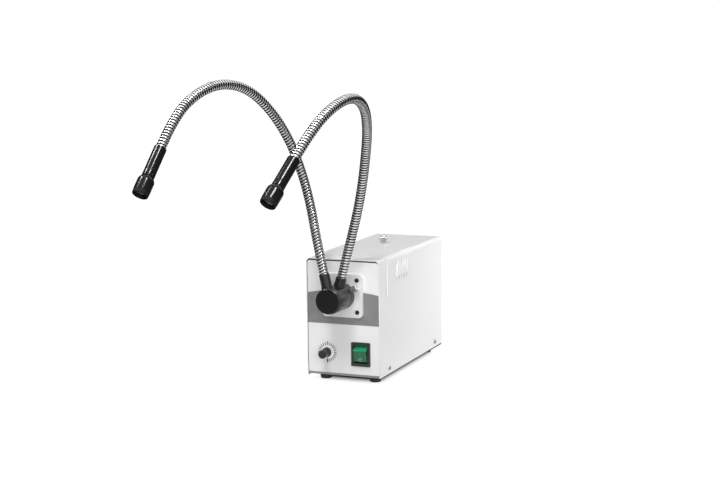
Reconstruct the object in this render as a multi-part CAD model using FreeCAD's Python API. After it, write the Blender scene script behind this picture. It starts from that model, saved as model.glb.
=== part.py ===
import FreeCAD, Part
import math
import os

# Fibre optic illuminator: a halogen light source in a sheet-metal case, with two
# stay-put metal goosenecks that carry the light. Millimetres. The origin is on the
# ground under the middle of the case: +X to the right of somebody facing the front
# panel, +Y to the back, +Z up.

V = FreeCAD.Vector
X_AXIS = V(1, 0, 0)
Y_AXIS = V(0, 1, 0)
Z_AXIS = V(0, 0, 1)

# ---------------------------------------------------------------- driving dimensions
RUN_FIT = 0.05          # radial clearance of a shaft or pin that turns or slides
SLIP_FIT = 0.2          # clearance between sheets and mouldings that slip together

# case
CASE_W = 110.0          # outside width of the cover
CASE_H = 165.0          # height of the cover
CASE_D = 260.0          # length of the cover, front to back
COVER_T = 1.2           # sheet of the cover
COVER_R = 6.0           # outside radius of the cover's two bends
CHASSIS_T = 1.2         # sheet of the chassis
FLANGE_H = 16.0         # side flanges of the chassis
PANEL_T = 1.5           # front panel plate
PANEL_RECESS = 1.6      # front panel behind the cover's front edge
PANEL_GAP = 0.9         # shadow gap between the panel and the cover's top
PANEL_R = 3.6           # corners of the front panel
LIP_H = 3.0             # chassis lip under the front panel
REAR_RECESS = 2.0       # rear wall behind the cover's rear edge
REAR_NOTCH = 3.0        # open corners at the top of the rear wall
FOOT_H = 10.5
FOOT_R = 9.0
FOOT_TIP_R = 7.8
FOOT_X = 37.5
FOOT_Y = 104.0

# M3 pan-head screws, used throughout
SCREW_R = 1.5
SCREW_LEN = 8.0
SCREW_HEAD_R = 3.0
SCREW_HEAD_H = 2.2
COVER_SCREW_Y = 95.0    # screws in the cover's sides, front and back
COVER_SCREW_Z = 8.0     # their height over the case's lower edge

# optical axis and light-guide socket
AXIS_H = 114.2          # optical axis over the case's lower edge
PLATE_SIZE = 61.0
PLATE_T = 3.0
PLATE_R = 7.0
PLATE_HOLES = 45.0      # screw spacing of the plate
COLLAR_R = 18.7
COLLAR_LEN = 11.0
SPIGOT_R = 15.5         # the collar's spigot through the panel
SPIGOT_REACH = 15.0     # the spigot behind the plate
FERRULE_R = 12.5        # light-guide ferrule
FERRULE_REACH = 34.0    # the ferrule behind the collar's front face
FERRULE_NOSE_R = 9.0    # journal of the ferrule in the manifold
FERRULE_NOSE = 3.0
TRUNK_R = 6.2           # common fibre bundle
COLLAR_SCREW_DEG = 28.0 # clamp screw of the socket, above +X

# manifold that splits the bundle
MANIFOLD_R = 18.3
MANIFOLD_LEN = 40.0
MANIFOLD_GAP = 0.6      # between the socket collar and the manifold
MANIFOLD_WALL = 4.0
CAP_STEP = 0.7          # the front cap is this much smaller in radius
CAP_T = 5.0
ARM_COLLAR_R = 7.1
ARM_COLLAR_ROOT = 13.2  # where an arm collar starts, from the manifold's axis
ARM_SPIGOT_R = 4.9      # spigot of the arm collar inside the hose
ARM_SPIGOT_LEN = 8.0

# gooseneck hose and its fibre bundle
HOSE_R = 6.6
HOSE_BORE_R = 5.0
FIBRE_R = 4.2
CUP_START = 2.8         # a hose length starts this far past its pivot
ARC_SHARE = 0.45        # share of the shorter run that a bend takes

# route of each gooseneck, from its collar to its nozzle: the collar's lean from
# the vertical, its place in front of the manifold's rear face, the collar's top from the
# manifold's axis, and the points of the route after the first run
LEFT_LEAN = -12.5
LEFT_PLACE = 31.0
LEFT_TOP = 37.5
LEFT_ROUTE = [
    V(-27, -172, 254),
    V(-37, -177, 300),
    V(-48, -191, 344),
    V(-61, -216, 383),
    V(-76, -252, 414),
    V(-91, -295, 424),
    V(-104, -340, 414),
    V(-114, -383, 387),
    V(-119, -412, 349),
]
RIGHT_LEAN = 15.5
RIGHT_PLACE = 8.4
RIGHT_TOP = 30.5
RIGHT_ROUTE = [
    V(36, -161, 242),
    V(50, -175, 284),
    V(63, -194, 325),
    V(77, -221, 362),
    V(87, -254, 393),
    V(90, -299, 408),
    V(82, -344, 398),
    V(71, -386, 371),
    V(62, -416, 339),
]
FIRST_RUN = 46.0        # first straight run out of the collar

# nozzle
SLEEVE_R = 8.0
SLEEVE_LEN = 43.0
SLEEVE_PLUG = 6.0       # hose inside the sleeve
HEAD_R = 10.7
HEAD_LEN = 26.0
HEAD_SHOULDER = 5.0     # cone between sleeve and head
GROOVE = 1.0            # groove between sleeve and head
LENS_R = 8.6
LENS_T = 3.0
LENS_INSET = 2.5        # lens face behind the head's rim

# rocker switch
SWITCH_X = 26.1
SWITCH_H = 32.2         # centre over the case's lower edge
BEZEL_W = 28.2
BEZEL_H = 34.0
BEZEL_T = 2.6
SWITCH_WALL = 1.4
WINDOW_W = 20.4
WINDOW_H = 25.2
SWITCH_DEPTH = 24.0
ROCKER_W = 19.2
ROCKER_PIVOT = 4.8      # pivot behind the panel's face
ROCKER_FACE = 9.8       # valley of the rocker's face, in front of the pivot
ROCKER_HALF = 8.0       # half height of the rocker's face
ROCKER_END = 11.4       # half height of the rocker's body
ROCKER_DISH = 2.0       # each half of the face slopes this much, degrees
ROCKER_TILT = 12.0      # tilt at rest, the top standing out
ROCKER_PIN_R = 1.5

# dimmer knob and its potentiometer
KNOB_X = -24.7
KNOB_H = 32.3
KNOB_R = 6.0
KNOB_LEN = 18.9
KNOB_FOOT_R = 6.9       # wider foot of the knob
KNOB_FOOT_T = 3.6
KNOB_SKIRT = 4.2        # hollow skirt over the nut
KNOB_END_T = 3.0        # end of the knob in front of the shaft
KNOB_GAP = 0.8          # between the knob and the washer
SHAFT_R = 3.0
BUSH_R = 3.6
BUSH_LEN = 5.0          # bush in front of the panel
POT_R = 8.5
POT_DEPTH = 10.0
NUT_AF = 9.0
NUT_T = 2.2
WASHER_R = 9.0
WASHER_T = 0.6

# lamp hatch
HATCH_FRONT = -102.0
HATCH_REAR = 3.0
HATCH_T = 1.0
HATCH_DROP = 54.0       # its side flaps
TAB_W = 20.0
SCREW_Y = 27.7          # thumbscrew of the hatch
SLOT_COUNT = 5
SLOT_PITCH = 10.0
SLOT_FIRST = -64.0
SLOT_W = 4.0
SLOT_H = 26.0
SLOT_DROP = 10.0        # slots below the hatch's top
OPENING_MARGIN = 12.0   # rim of the cover under the hatch

# thumbscrews
HATCH_HEAD_R = 5.5      # knurled head on the hatch
CLAMP_HEAD_R = 4.8      # knurled head on the socket
THUMB_H = 8.0
THUMB_SHANK_R = 2.0
THUMB_FLANGE_R = 3.4
THUMB_FLANGE_T = 1.2
THUMB_GROOVES = 20
THUMB_GROOVE_R = 0.45
THREAD_DEPTH = 6.0      # threaded boss under the cover

# fan and guard
FAN_SIZE = 92.0
FAN_ROOM = 3.6          # between the fan's frame and the cover above it
FAN_DEPTH = 25.0
FAN_HOLES = 82.5
FAN_DUCT_R = 43.5
FAN_HUB_R = 18.0
FAN_PLATE_R = 19.0
FAN_PLATE_T = 3.0
FAN_STRUT_W = 4.0
FAN_BLADES = 7
FAN_BLADE_T = 1.6
FAN_TIP_GAP = 1.0
FAN_AXLE_R = 1.5
FAN_OPENING_R = 44.5
GUARD_WIRE_R = 0.9
GUARD_RINGS = [43.0, 35.0, 26.0]
GUARD_HUB_R = 6.5
GUARD_LOOP_R = 4.4

# mains inlet with fuse drawer
INLET_X = 25.7
INLET_H = 29.0
INLET_W = 49.5          # tip to tip
INLET_TOP = 31.0        # length of the flange's top edge
INLET_TALL = 36.5
INLET_T = 3.0
INLET_HOLES = 40.0
INLET_BODY_W = 29.0
INLET_BODY_H = 32.5
INLET_DEPTH = 30.0
SOCKET_W = 24.6
SOCKET_H = 16.8
SOCKET_DEPTH = 17.0
SOCKET_DROP = 7.0       # socket centre below the flange's centre
PIN_W = 4.0
PIN_T = 2.0
PIN_LEN = 14.0
PIN_SPREAD = 7.0
PIN_EARTH_DROP = 4.0
TAB_LEN = 8.0
DRAWER_W = 25.0
DRAWER_H = 9.0
DRAWER_RISE = 9.0       # drawer centre above the flange's centre
DRAWER_LEN = 24.0
DRAWER_FACE = 1.2       # drawer face in front of the flange
FUSE_R = 2.6
FUSE_LEN = 20.0
FUSE_PITCH = 8.0

# voltage selector
SELECTOR_X = -27.0
SELECTOR_W = 18.0
SELECTOR_TALL = 9.0
SELECTOR_DEPTH = 14.0
SELECTOR_EAR = 50.0
SELECTOR_EAR_H = 11.0
SELECTOR_HOLES = 42.0
SELECTOR_WINDOW_W = 13.0
SELECTOR_WINDOW_H = 5.0
SLIDER_W = 6.0
SLIDER_TRAVEL = 6.0

# inside
LAMP_R = 25.0
LAMP_DEPTH = 34.0
LAMP_WALL = 1.5
LAMP_FOCUS = 44.5       # lamp rim to the face of the light guide
LAMP_NECK_R = 9.0
LAMP_BASE_W = 15.0
LAMP_BASE_T = 7.0
LAMP_BASE_LEN = 12.0
LAMP_PIN_R = 0.75
LAMP_PIN_LEN = 7.0
LAMP_PIN_SPREAD = 3.2
BRACKET_T = 1.5
BRACKET_W = 70.0
BRACKET_FOOT = 14.0
BRACKET_OVER = 30.0     # bracket above the optical axis
RIM_DEPTH = 4.0
FILTER_R = 24.0
FILTER_T = 3.0
LAMP_SOCKET_W = 26.0
LAMP_SOCKET_H = 14.0
LAMP_SOCKET_LEN = 10.0
CORE_W = 80.0
CORE_H = 55.0
CORE_D = 46.0
CORE_ROOM = 4.0         # between the coil and the inlet's tabs
COIL_D = 72.0
COIL_H = 38.0
COIL_W = 40.0
CLAMP_T = 1.5
CLAMP_EAR = 8.0
BOARD_W = 80.0
BOARD_D = 34.0
BOARD_T = 1.6
BOARD_ROOM = 23.4       # between the lamp bracket and the board
STANDOFF_H = 6.0
STANDOFF_R = 3.0
SINK_W = 30.0
SINK_H = 22.0
CAPACITOR_R = 6.5
CAPACITOR_H = 16.0
CHOKE_R = 8.0
CHOKE_H = 8.0

# ------------------------------------------------------------------ derived places
CASE_BOTTOM = FOOT_H
CASE_TOP = CASE_BOTTOM + CASE_H
FRONT_EDGE = -CASE_D / 2
REAR_EDGE = CASE_D / 2
PANEL_FACE = FRONT_EDGE + PANEL_RECESS
WALL_FACE = PANEL_FACE + PANEL_T
WALL_BACK = WALL_FACE + CHASSIS_T
REAR_FACE = REAR_EDGE - REAR_RECESS
REAR_BACK = REAR_FACE - CHASSIS_T
INNER_HALF = CASE_W / 2 - COVER_T
CHASSIS_HALF = INNER_HALF - SLIP_FIT
FLOOR = CASE_BOTTOM + CHASSIS_T
AXIS_Z = CASE_BOTTOM + AXIS_H
AXIS = V(0, 0, AXIS_Z)
FAN_Z = CASE_TOP - COVER_T - FAN_ROOM - FAN_SIZE / 2
FAN_AXIS = V(0, 0, FAN_Z)
PLATE_FACE = PANEL_FACE - PLATE_T
COLLAR_FACE = PLATE_FACE - COLLAR_LEN
FERRULE_END = COLLAR_FACE + FERRULE_REACH
MANIFOLD_BACK = COLLAR_FACE - MANIFOLD_GAP
MANIFOLD_FACE = MANIFOLD_BACK - MANIFOLD_LEN
SCREW_HOLE_R = SCREW_R + RUN_FIT
SHANK_HOLE_R = THUMB_SHANK_R + RUN_FIT
COVER_SCREW_LEVEL = CASE_BOTTOM + COVER_SCREW_Z
SWITCH_Z = CASE_BOTTOM + SWITCH_H
KNOB_Z = CASE_BOTTOM + KNOB_H
INLET_Z = CASE_BOTTOM + INLET_H
LAMP_RIM = FERRULE_END + LAMP_FOCUS
BRACKET_Y = LAMP_RIM
BOARD_Y = BRACKET_Y + BRACKET_T + BOARD_ROOM + BOARD_D / 2
CORE_Y = REAR_FACE - INLET_DEPTH - TAB_LEN - CORE_ROOM - COIL_D / 2


# ------------------------------------------------------------------------- helpers
def save(name, shape):
    shape.exportStep(os.path.join("parts", name + ".step"))


def box(x, y, z):
    """A box between three pairs of limits."""
    return Part.makeBox(x[1] - x[0], y[1] - y[0], z[1] - z[0], V(x[0], y[0], z[0]))


def around(centre, half):
    """Limits on both sides of a centre."""
    return (centre - half, centre + half)


def rod(radius, start, end):
    """A cylinder from one point to another."""
    return Part.makeCylinder(radius, (end - start).Length, start, end - start)


def along_y(radius, x, z, y0, y1):
    return rod(radius, V(x, y0, z), V(x, y1, z))


def cone(r0, r1, start, end):
    return Part.makeCone(r0, r1, (end - start).Length, start, end - start)


def prism(points, direction):
    """A closed outline of points pushed along a direction."""
    return Part.Face(Part.makePolygon(points + points[:1])).extrude(direction)


def round_rect_y(x, z, radius, y0, y1):
    """A plate across Y, with rounded corners."""
    plate = box(x, (y0, y1), z)
    edges = [e for e in plate.Edges if abs(e.tangentAt(e.FirstParameter).y) > 0.9]
    return plate.makeFillet(radius, edges)


def union(shapes):
    return shapes[0].fuse(shapes[1:]).removeSplitter()


def group(shapes):
    return Part.makeCompound(shapes)


def on_square(half_x, half_z):
    """The four corners of a rectangle, as x and z."""
    return [(sx * half_x, sz * half_z) for sx in (-1, 1) for sz in (-1, 1)]


def turned(shape, start, direction):
    """A shape made along +Z at the origin, moved to start and turned to direction."""
    moved = shape.copy()
    moved.Placement = FreeCAD.Placement(start, FreeCAD.Rotation(Z_AXIS, direction))
    return moved


def screw(seat, outward):
    """A pan-head screw whose head sits on a seat and faces outward."""
    head = Part.makeCylinder(SCREW_HEAD_R, SCREW_HEAD_H)
    rim = [e for e in head.Edges if e.Length > 1 and e.BoundBox.ZMin > SCREW_HEAD_H - 0.1]
    head = head.makeFillet(SCREW_HEAD_H * 0.4, rim)
    slot_w = SCREW_HEAD_R * 0.3
    slot_l = SCREW_HEAD_R * 0.6
    cross_z = (SCREW_HEAD_H * 0.45, SCREW_HEAD_H + 1)
    head = head.cut(box((-slot_l, slot_l), (-slot_w / 2, slot_w / 2), cross_z))
    head = head.cut(box((-slot_w / 2, slot_w / 2), (-slot_l, slot_l), cross_z))
    shank = Part.makeCylinder(SCREW_R, SCREW_LEN, V(0, 0, -SCREW_LEN))
    return turned(head.fuse(shank).removeSplitter(), seat, outward)


def hole(seat, outward, radius=SCREW_HOLE_R, depth=SCREW_LEN + 4):
    """The bore for a screw or pin on a seat."""
    way = V(outward).normalize()
    return rod(radius, seat + way * 2, seat - way * depth)


# ------------------------------------------------------------------- screw places
def foot_places():
    return [(sx * FOOT_X, sy * FOOT_Y) for sx in (-1, 1) for sy in (-1, 1)]


FOOT_BORE_R = SCREW_HEAD_R + 1
FOOT_BORE = FOOT_H / 2
FOOT_SEATS = [(V(x, y, FOOT_BORE), V(0, 0, -1)) for x, y in foot_places()]
COVER_SEATS = [
    (V(side * CASE_W / 2, end * COVER_SCREW_Y, COVER_SCREW_LEVEL), V(side, 0, 0))
    for side in (-1, 1) for end in (-1, 1)
]
PLATE_SEATS = [
    (V(x, PLATE_FACE, AXIS_Z + z), V(0, -1, 0))
    for x, z in on_square(PLATE_HOLES / 2, PLATE_HOLES / 2)
]
GUARD_FOOT = REAR_FACE + 2 * GUARD_WIRE_R
FAN_SEATS = [
    (V(x, GUARD_FOOT, FAN_Z + z), V(0, 1, 0))
    for x, z in on_square(FAN_HOLES / 2, FAN_HOLES / 2)
]
INLET_SEATS = [
    (V(INLET_X + side * INLET_HOLES / 2, REAR_FACE + INLET_T, INLET_Z), V(0, 1, 0))
    for side in (-1, 1)
]
SELECTOR_SEATS = [
    (V(SELECTOR_X + side * SELECTOR_HOLES / 2, REAR_FACE, INLET_Z), V(0, 1, 0))
    for side in (-1, 1)
]
CLAMP_SEATS = [
    (V(side * (CORE_W / 2 + CLAMP_EAR / 2), CORE_Y, FLOOR + CLAMP_T), Z_AXIS)
    for side in (-1, 1)
]
BRACKET_SEATS = [
    (V(side * BRACKET_W / 3, BRACKET_Y - BRACKET_FOOT / 2, FLOOR + BRACKET_T), Z_AXIS)
    for side in (-1, 1)
]
BOARD_TOP = FLOOR + STANDOFF_H + BOARD_T
BOARD_SEATS = [
    (V(sx * (BOARD_W / 2 - 5), BOARD_Y + sy * (BOARD_D / 2 - 5), BOARD_TOP), Z_AXIS)
    for sx in (-1, 1) for sy in (-1, 1)
]


def drilled(shape, seats):
    for seat, outward in seats:
        shape = shape.cut(hole(seat, outward))
    return shape


# ------------------------------------------------------------------------ the case
def u_section(half, low, top, radius, y0, y1):
    """A block with two rounded upper edges: the outline of the cover."""
    block = box((-half, half), (y0, y1), (low, top))
    edges = [
        e for e in block.Edges
        if abs(e.tangentAt(e.FirstParameter).y) > 0.9 and e.CenterOfMass.z > top - 0.1
    ]
    return block.makeFillet(radius, edges)


def make_cover():
    outer = u_section(CASE_W / 2, CASE_BOTTOM, CASE_TOP, COVER_R, FRONT_EDGE, REAR_EDGE)
    inner = u_section(
        INNER_HALF, CASE_BOTTOM - 1, CASE_TOP - COVER_T, COVER_R - COVER_T,
        FRONT_EDGE - 1, REAR_EDGE + 1,
    )
    boss_r = THUMB_SHANK_R * 2
    boss = rod(boss_r, V(0, SCREW_Y, CASE_TOP - THREAD_DEPTH), V(0, SCREW_Y, CASE_TOP - COVER_T / 2))
    cover = outer.cut(inner).fuse(boss).removeSplitter()
    lamp_y = (HATCH_FRONT + OPENING_MARGIN, HATCH_REAR - OPENING_MARGIN)
    top_half = CASE_W / 2 - OPENING_MARGIN
    cover = cover.cut(box((-top_half, top_half), lamp_y, (CASE_TOP - 2 * COVER_T, CASE_TOP + 1)))
    vent_y = (SLOT_FIRST - SLOT_W, SLOT_FIRST + (SLOT_COUNT - 1) * SLOT_PITCH + SLOT_W)
    vent_z = (slot_top() - SLOT_H - SLOT_W, slot_top() + SLOT_W)
    cover = cover.cut(box((-CASE_W, CASE_W), vent_y, vent_z))
    cover = cover.cut(hole(V(0, SCREW_Y, CASE_TOP), Z_AXIS, SHANK_HOLE_R, THREAD_DEPTH + 2))
    return drilled(cover, COVER_SEATS)


def make_chassis():
    half = CHASSIS_HALF
    wall_top = CASE_TOP - COVER_T - PANEL_GAP
    floor = box((-half, half), (WALL_FACE, REAR_FACE), (CASE_BOTTOM, FLOOR))
    lip = box((-half, half), (PANEL_FACE, WALL_FACE), (CASE_BOTTOM, CASE_BOTTOM + LIP_H))
    front = box((-half, half), (WALL_FACE, WALL_BACK), (CASE_BOTTOM, wall_top))
    rear = box((-half, half), (REAR_BACK, REAR_FACE), (CASE_BOTTOM, wall_top))
    flanges = [
        box(around(side * (half - CHASSIS_T / 2), CHASSIS_T / 2), (WALL_FACE, REAR_FACE),
            (CASE_BOTTOM, CASE_BOTTOM + FLANGE_H))
        for side in (-1, 1)
    ]
    chassis = union([floor, lip, front, rear] + flanges)
    for side in (-1, 1):
        notch_x = around(side * half, REAR_NOTCH)
        notch_z = (wall_top - REAR_NOTCH, wall_top + 1)
        chassis = chassis.cut(box(notch_x, (REAR_BACK - 1, REAR_FACE + 1), notch_z))
        # the front wall clears the cover's bends
        front_z = (wall_top - COVER_R, wall_top + 1)
        chassis = chassis.cut(box(around(side * half, COVER_R), (WALL_FACE - 1, WALL_BACK + 1), front_z))
    chassis = chassis.cut(panel_openings(WALL_FACE, WALL_BACK))
    chassis = chassis.cut(along_y(FAN_OPENING_R, 0, FAN_Z, REAR_BACK - 1, REAR_FACE + 1))
    chassis = chassis.cut(inlet_block(REAR_BACK - 1, REAR_FACE + 1, SLIP_FIT / 2))
    chassis = chassis.cut(selector_block(REAR_BACK - 1, REAR_FACE + 1, SLIP_FIT / 2))
    seats = FOOT_SEATS + COVER_SEATS + PLATE_SEATS + FAN_SEATS + INLET_SEATS
    seats = seats + SELECTOR_SEATS + CLAMP_SEATS + BRACKET_SEATS + BOARD_SEATS
    return drilled(chassis, seats)


def panel_openings(y0, y1):
    """What passes through the front panel and the wall behind it."""
    spigot = along_y(SPIGOT_R + RUN_FIT, 0, AXIS_Z, y0 - 1, y1 + 1)
    switch = box(
        around(SWITCH_X, WINDOW_W / 2 + SWITCH_WALL + SLIP_FIT / 2), (y0 - 1, y1 + 1),
        around(SWITCH_Z, WINDOW_H / 2 + SWITCH_WALL + SLIP_FIT / 2),
    )
    bush = along_y(BUSH_R + RUN_FIT, KNOB_X, KNOB_Z, y0 - 1, y1 + 1)
    return group([spigot, switch, bush])


def make_front_panel():
    half = CHASSIS_HALF
    panel = round_rect_y(
        (-half, half), (CASE_BOTTOM + LIP_H + SLIP_FIT, CASE_TOP - COVER_T - PANEL_GAP),
        PANEL_R, PANEL_FACE, WALL_FACE,
    )
    return drilled(panel.cut(panel_openings(PANEL_FACE, WALL_FACE)), PLATE_SEATS)


def make_feet():
    feet = []
    for x, y in foot_places():
        foot = cone(FOOT_TIP_R, FOOT_R, V(x, y, 0), V(x, y, FOOT_H))
        foot = foot.cut(rod(FOOT_BORE_R, V(x, y, -1), V(x, y, FOOT_BORE)))
        feet.append(foot)
    return drilled(group(feet), FOOT_SEATS)


def make_screws():
    seats = FOOT_SEATS + COVER_SEATS + PLATE_SEATS + FAN_SEATS + INLET_SEATS
    seats = seats + SELECTOR_SEATS + CLAMP_SEATS + BRACKET_SEATS + BOARD_SEATS
    return group([screw(seat, outward) for seat, outward in seats])


# -------------------------------------------------------------- light-guide socket
def make_socket_plate():
    plate = round_rect_y(
        around(0, PLATE_SIZE / 2), around(AXIS_Z, PLATE_SIZE / 2), PLATE_R,
        PLATE_FACE, PANEL_FACE,
    )
    plate = plate.cut(along_y(SPIGOT_R + RUN_FIT, 0, AXIS_Z, PLATE_FACE - 1, PANEL_FACE + 1))
    return drilled(plate, PLATE_SEATS)


def collar_screw_way():
    angle = math.radians(COLLAR_SCREW_DEG)
    return V(math.cos(angle), 0, math.sin(angle))


def collar_screw_root():
    return V(0, PLATE_FACE - COLLAR_LEN / 2, AXIS_Z)


def make_socket_collar():
    collar = along_y(COLLAR_R, 0, AXIS_Z, COLLAR_FACE, PLATE_FACE)
    rim = [e for e in collar.Edges if e.BoundBox.YMax < COLLAR_FACE + 0.1 and e.Length > COLLAR_R]
    collar = collar.makeChamfer(1.2, rim)
    collar = collar.fuse(along_y(SPIGOT_R, 0, AXIS_Z, PLATE_FACE, PLATE_FACE + SPIGOT_REACH))
    bore = along_y(FERRULE_R + RUN_FIT, 0, AXIS_Z, COLLAR_FACE - 1, PLATE_FACE + SPIGOT_REACH + 1)
    collar = collar.removeSplitter().cut(bore)
    start = collar_screw_root()
    return collar.cut(rod(SHANK_HOLE_R, start, start + collar_screw_way() * (COLLAR_R + 5)))


# --------------------------------------------------------------------- thumbscrews
def thumb_head(radius):
    """A knurled head on its shank, standing on +Z from z 0, with a blind bore."""
    head = Part.makeCylinder(radius, THUMB_H)
    rims = [e for e in head.Edges if e.BoundBox.ZLength < 0.01]
    head = head.makeChamfer(0.6, rims)
    head = head.cut(Part.makeCylinder(SHANK_HOLE_R, THUMB_H * 0.7, V(0, 0, -0.01)))
    grooves = []
    for n in range(THUMB_GROOVES):
        angle = 2 * math.pi * n / THUMB_GROOVES
        foot = V(radius * math.cos(angle), radius * math.sin(angle), -1)
        grooves.append(Part.makeCylinder(THUMB_GROOVE_R, THUMB_H + 2, foot))
    return head.cut(group(grooves))


def thumb_shank(reach):
    """A shank with a small flange under its head; it reaches down below z 0."""
    flange = Part.makeCylinder(THUMB_FLANGE_R, THUMB_FLANGE_T, V(0, 0, -THUMB_FLANGE_T))
    shank = Part.makeCylinder(THUMB_SHANK_R, reach + THUMB_H * 0.65, V(0, 0, -reach))
    return flange.fuse(shank).removeSplitter()


def hatch_top():
    return CASE_TOP + SLIP_FIT + HATCH_T


def hatch_screw_seat():
    return V(0, SCREW_Y, hatch_top() + RUN_FIT + THUMB_FLANGE_T)


def make_hatch_screw():
    reach = hatch_screw_seat().z - (CASE_TOP - THREAD_DEPTH)
    return turned(thumb_shank(reach), hatch_screw_seat(), Z_AXIS)


def make_hatch_screw_head():
    return turned(thumb_head(HATCH_HEAD_R), hatch_screw_seat() + V(0, 0, RUN_FIT), Z_AXIS)


def collar_screw_seat():
    return collar_screw_root() + collar_screw_way() * (COLLAR_R + THUMB_FLANGE_T + RUN_FIT)


def make_collar_screw():
    reach = COLLAR_R + THUMB_FLANGE_T - FERRULE_R - SLIP_FIT
    return turned(thumb_shank(reach), collar_screw_seat(), collar_screw_way())


def make_collar_screw_head():
    start = collar_screw_seat() + collar_screw_way() * RUN_FIT
    return turned(thumb_head(CLAMP_HEAD_R), start, collar_screw_way())


# ------------------------------------------------------------------- rocker switch
def make_switch_body():
    bezel = round_rect_y(
        around(SWITCH_X, BEZEL_W / 2), around(SWITCH_Z, BEZEL_H / 2), 1.5,
        PANEL_FACE - BEZEL_T, PANEL_FACE,
    )
    face = [e for e in bezel.Edges if e.BoundBox.YMax < PANEL_FACE - BEZEL_T + 0.01]
    bezel = bezel.makeFillet(0.8, face)
    wall = SWITCH_WALL
    body = box(
        around(SWITCH_X, WINDOW_W / 2 + wall), (PANEL_FACE, PANEL_FACE + SWITCH_DEPTH),
        around(SWITCH_Z, WINDOW_H / 2 + wall),
    )
    recess = box(
        around(SWITCH_X, WINDOW_W / 2),
        (PANEL_FACE - BEZEL_T - 1, PANEL_FACE + SWITCH_DEPTH - 3 * wall),
        around(SWITCH_Z, WINDOW_H / 2),
    )
    pin = rocker_pin(ROCKER_PIN_R + RUN_FIT, WINDOW_W / 2 + wall + 1)
    whole = union([bezel, body]).cut(recess).cut(pin)
    blades = [
        box(around(SWITCH_X, 3.15), (PANEL_FACE + SWITCH_DEPTH, PANEL_FACE + SWITCH_DEPTH + TAB_LEN),
            around(SWITCH_Z + rise, 0.4))
        for rise in (-8, 0, 8)
    ]
    return union([whole] + blades)


def rocker_axis():
    return V(SWITCH_X, PANEL_FACE + ROCKER_PIVOT, SWITCH_Z)


def rocker_pin(radius, half):
    centre = rocker_axis()
    return rod(radius, centre - V(half, 0, 0), centre + V(half, 0, 0))


def make_rocker():
    """The rocker in line, then tilted about its pin so that its top stands out."""
    centre = rocker_axis()
    rise = ROCKER_HALF * math.tan(math.radians(ROCKER_DISH))
    low = 2.0
    outline = [
        (0, ROCKER_FACE), (ROCKER_HALF, ROCKER_FACE + rise), (ROCKER_END, low),
        (ROCKER_END, -low), (-ROCKER_END, -low), (-ROCKER_END, low),
        (-ROCKER_HALF, ROCKER_FACE + rise),
    ]
    points = [centre + V(-ROCKER_W / 2, -out, up) for up, out in outline]
    rocker = prism(points, V(ROCKER_W, 0, 0))
    edges = [e for e in rocker.Edges if e.CenterOfMass.y < centre.y - low - 0.5]
    rocker = rocker.makeFillet(0.6, edges)
    rocker = union([rocker, rocker_pin(ROCKER_PIN_R, WINDOW_W / 2 + SWITCH_WALL - 0.3)])
    rocker.rotate(centre, X_AXIS, ROCKER_TILT)
    return rocker


# --------------------------------------------------------------------- dimmer knob
def make_pot_body():
    can = along_y(POT_R, KNOB_X, KNOB_Z, WALL_BACK, WALL_BACK + POT_DEPTH)
    bush = along_y(BUSH_R, KNOB_X, KNOB_Z, PANEL_FACE - BUSH_LEN, WALL_BACK)
    bore = along_y(SHAFT_R + RUN_FIT, KNOB_X, KNOB_Z, PANEL_FACE - BUSH_LEN - 1, WALL_BACK + POT_DEPTH * 0.6)
    return union([can, bush]).cut(bore)


def make_pot_nut():
    washer = along_y(WASHER_R, KNOB_X, KNOB_Z, PANEL_FACE - WASHER_T, PANEL_FACE)
    corner = NUT_AF / math.sqrt(3)
    points = [
        V(KNOB_X + corner * math.cos(math.radians(60 * n)), PANEL_FACE - WASHER_T,
          KNOB_Z + corner * math.sin(math.radians(60 * n)))
        for n in range(6)
    ]
    nut = prism(points, V(0, -NUT_T, 0))
    bore = along_y(BUSH_R + RUN_FIT, KNOB_X, KNOB_Z, PANEL_FACE - WASHER_T - NUT_T - 1, PANEL_FACE + 1)
    return group([washer.cut(bore), nut.cut(bore)])


def knob_back():
    return PANEL_FACE - WASHER_T - KNOB_GAP


def make_knob():
    back = knob_back()
    front = back - KNOB_LEN
    knob = union([
        along_y(KNOB_FOOT_R, KNOB_X, KNOB_Z, back - KNOB_FOOT_T, back),
        along_y(KNOB_R, KNOB_X, KNOB_Z, front, back),
    ])
    rim = [e for e in knob.Edges if e.BoundBox.YMax < front + 0.1 and e.Length > KNOB_R]
    knob = knob.makeFillet(0.8, rim)
    skirt = along_y(NUT_AF / math.sqrt(3) + SLIP_FIT, KNOB_X, KNOB_Z, back - KNOB_SKIRT, back + 1)
    bore = along_y(SHAFT_R, KNOB_X, KNOB_Z, front + KNOB_END_T, back + 1)
    return knob.cut(skirt).cut(bore)


def make_knob_shaft():
    end = knob_back() - KNOB_LEN + KNOB_END_T
    return along_y(SHAFT_R, KNOB_X, KNOB_Z, end, WALL_BACK + POT_DEPTH * 0.5)


# ---------------------------------------------------------------------- lamp hatch
def slot_top():
    return hatch_top() - HATCH_T - SLOT_DROP


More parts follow.
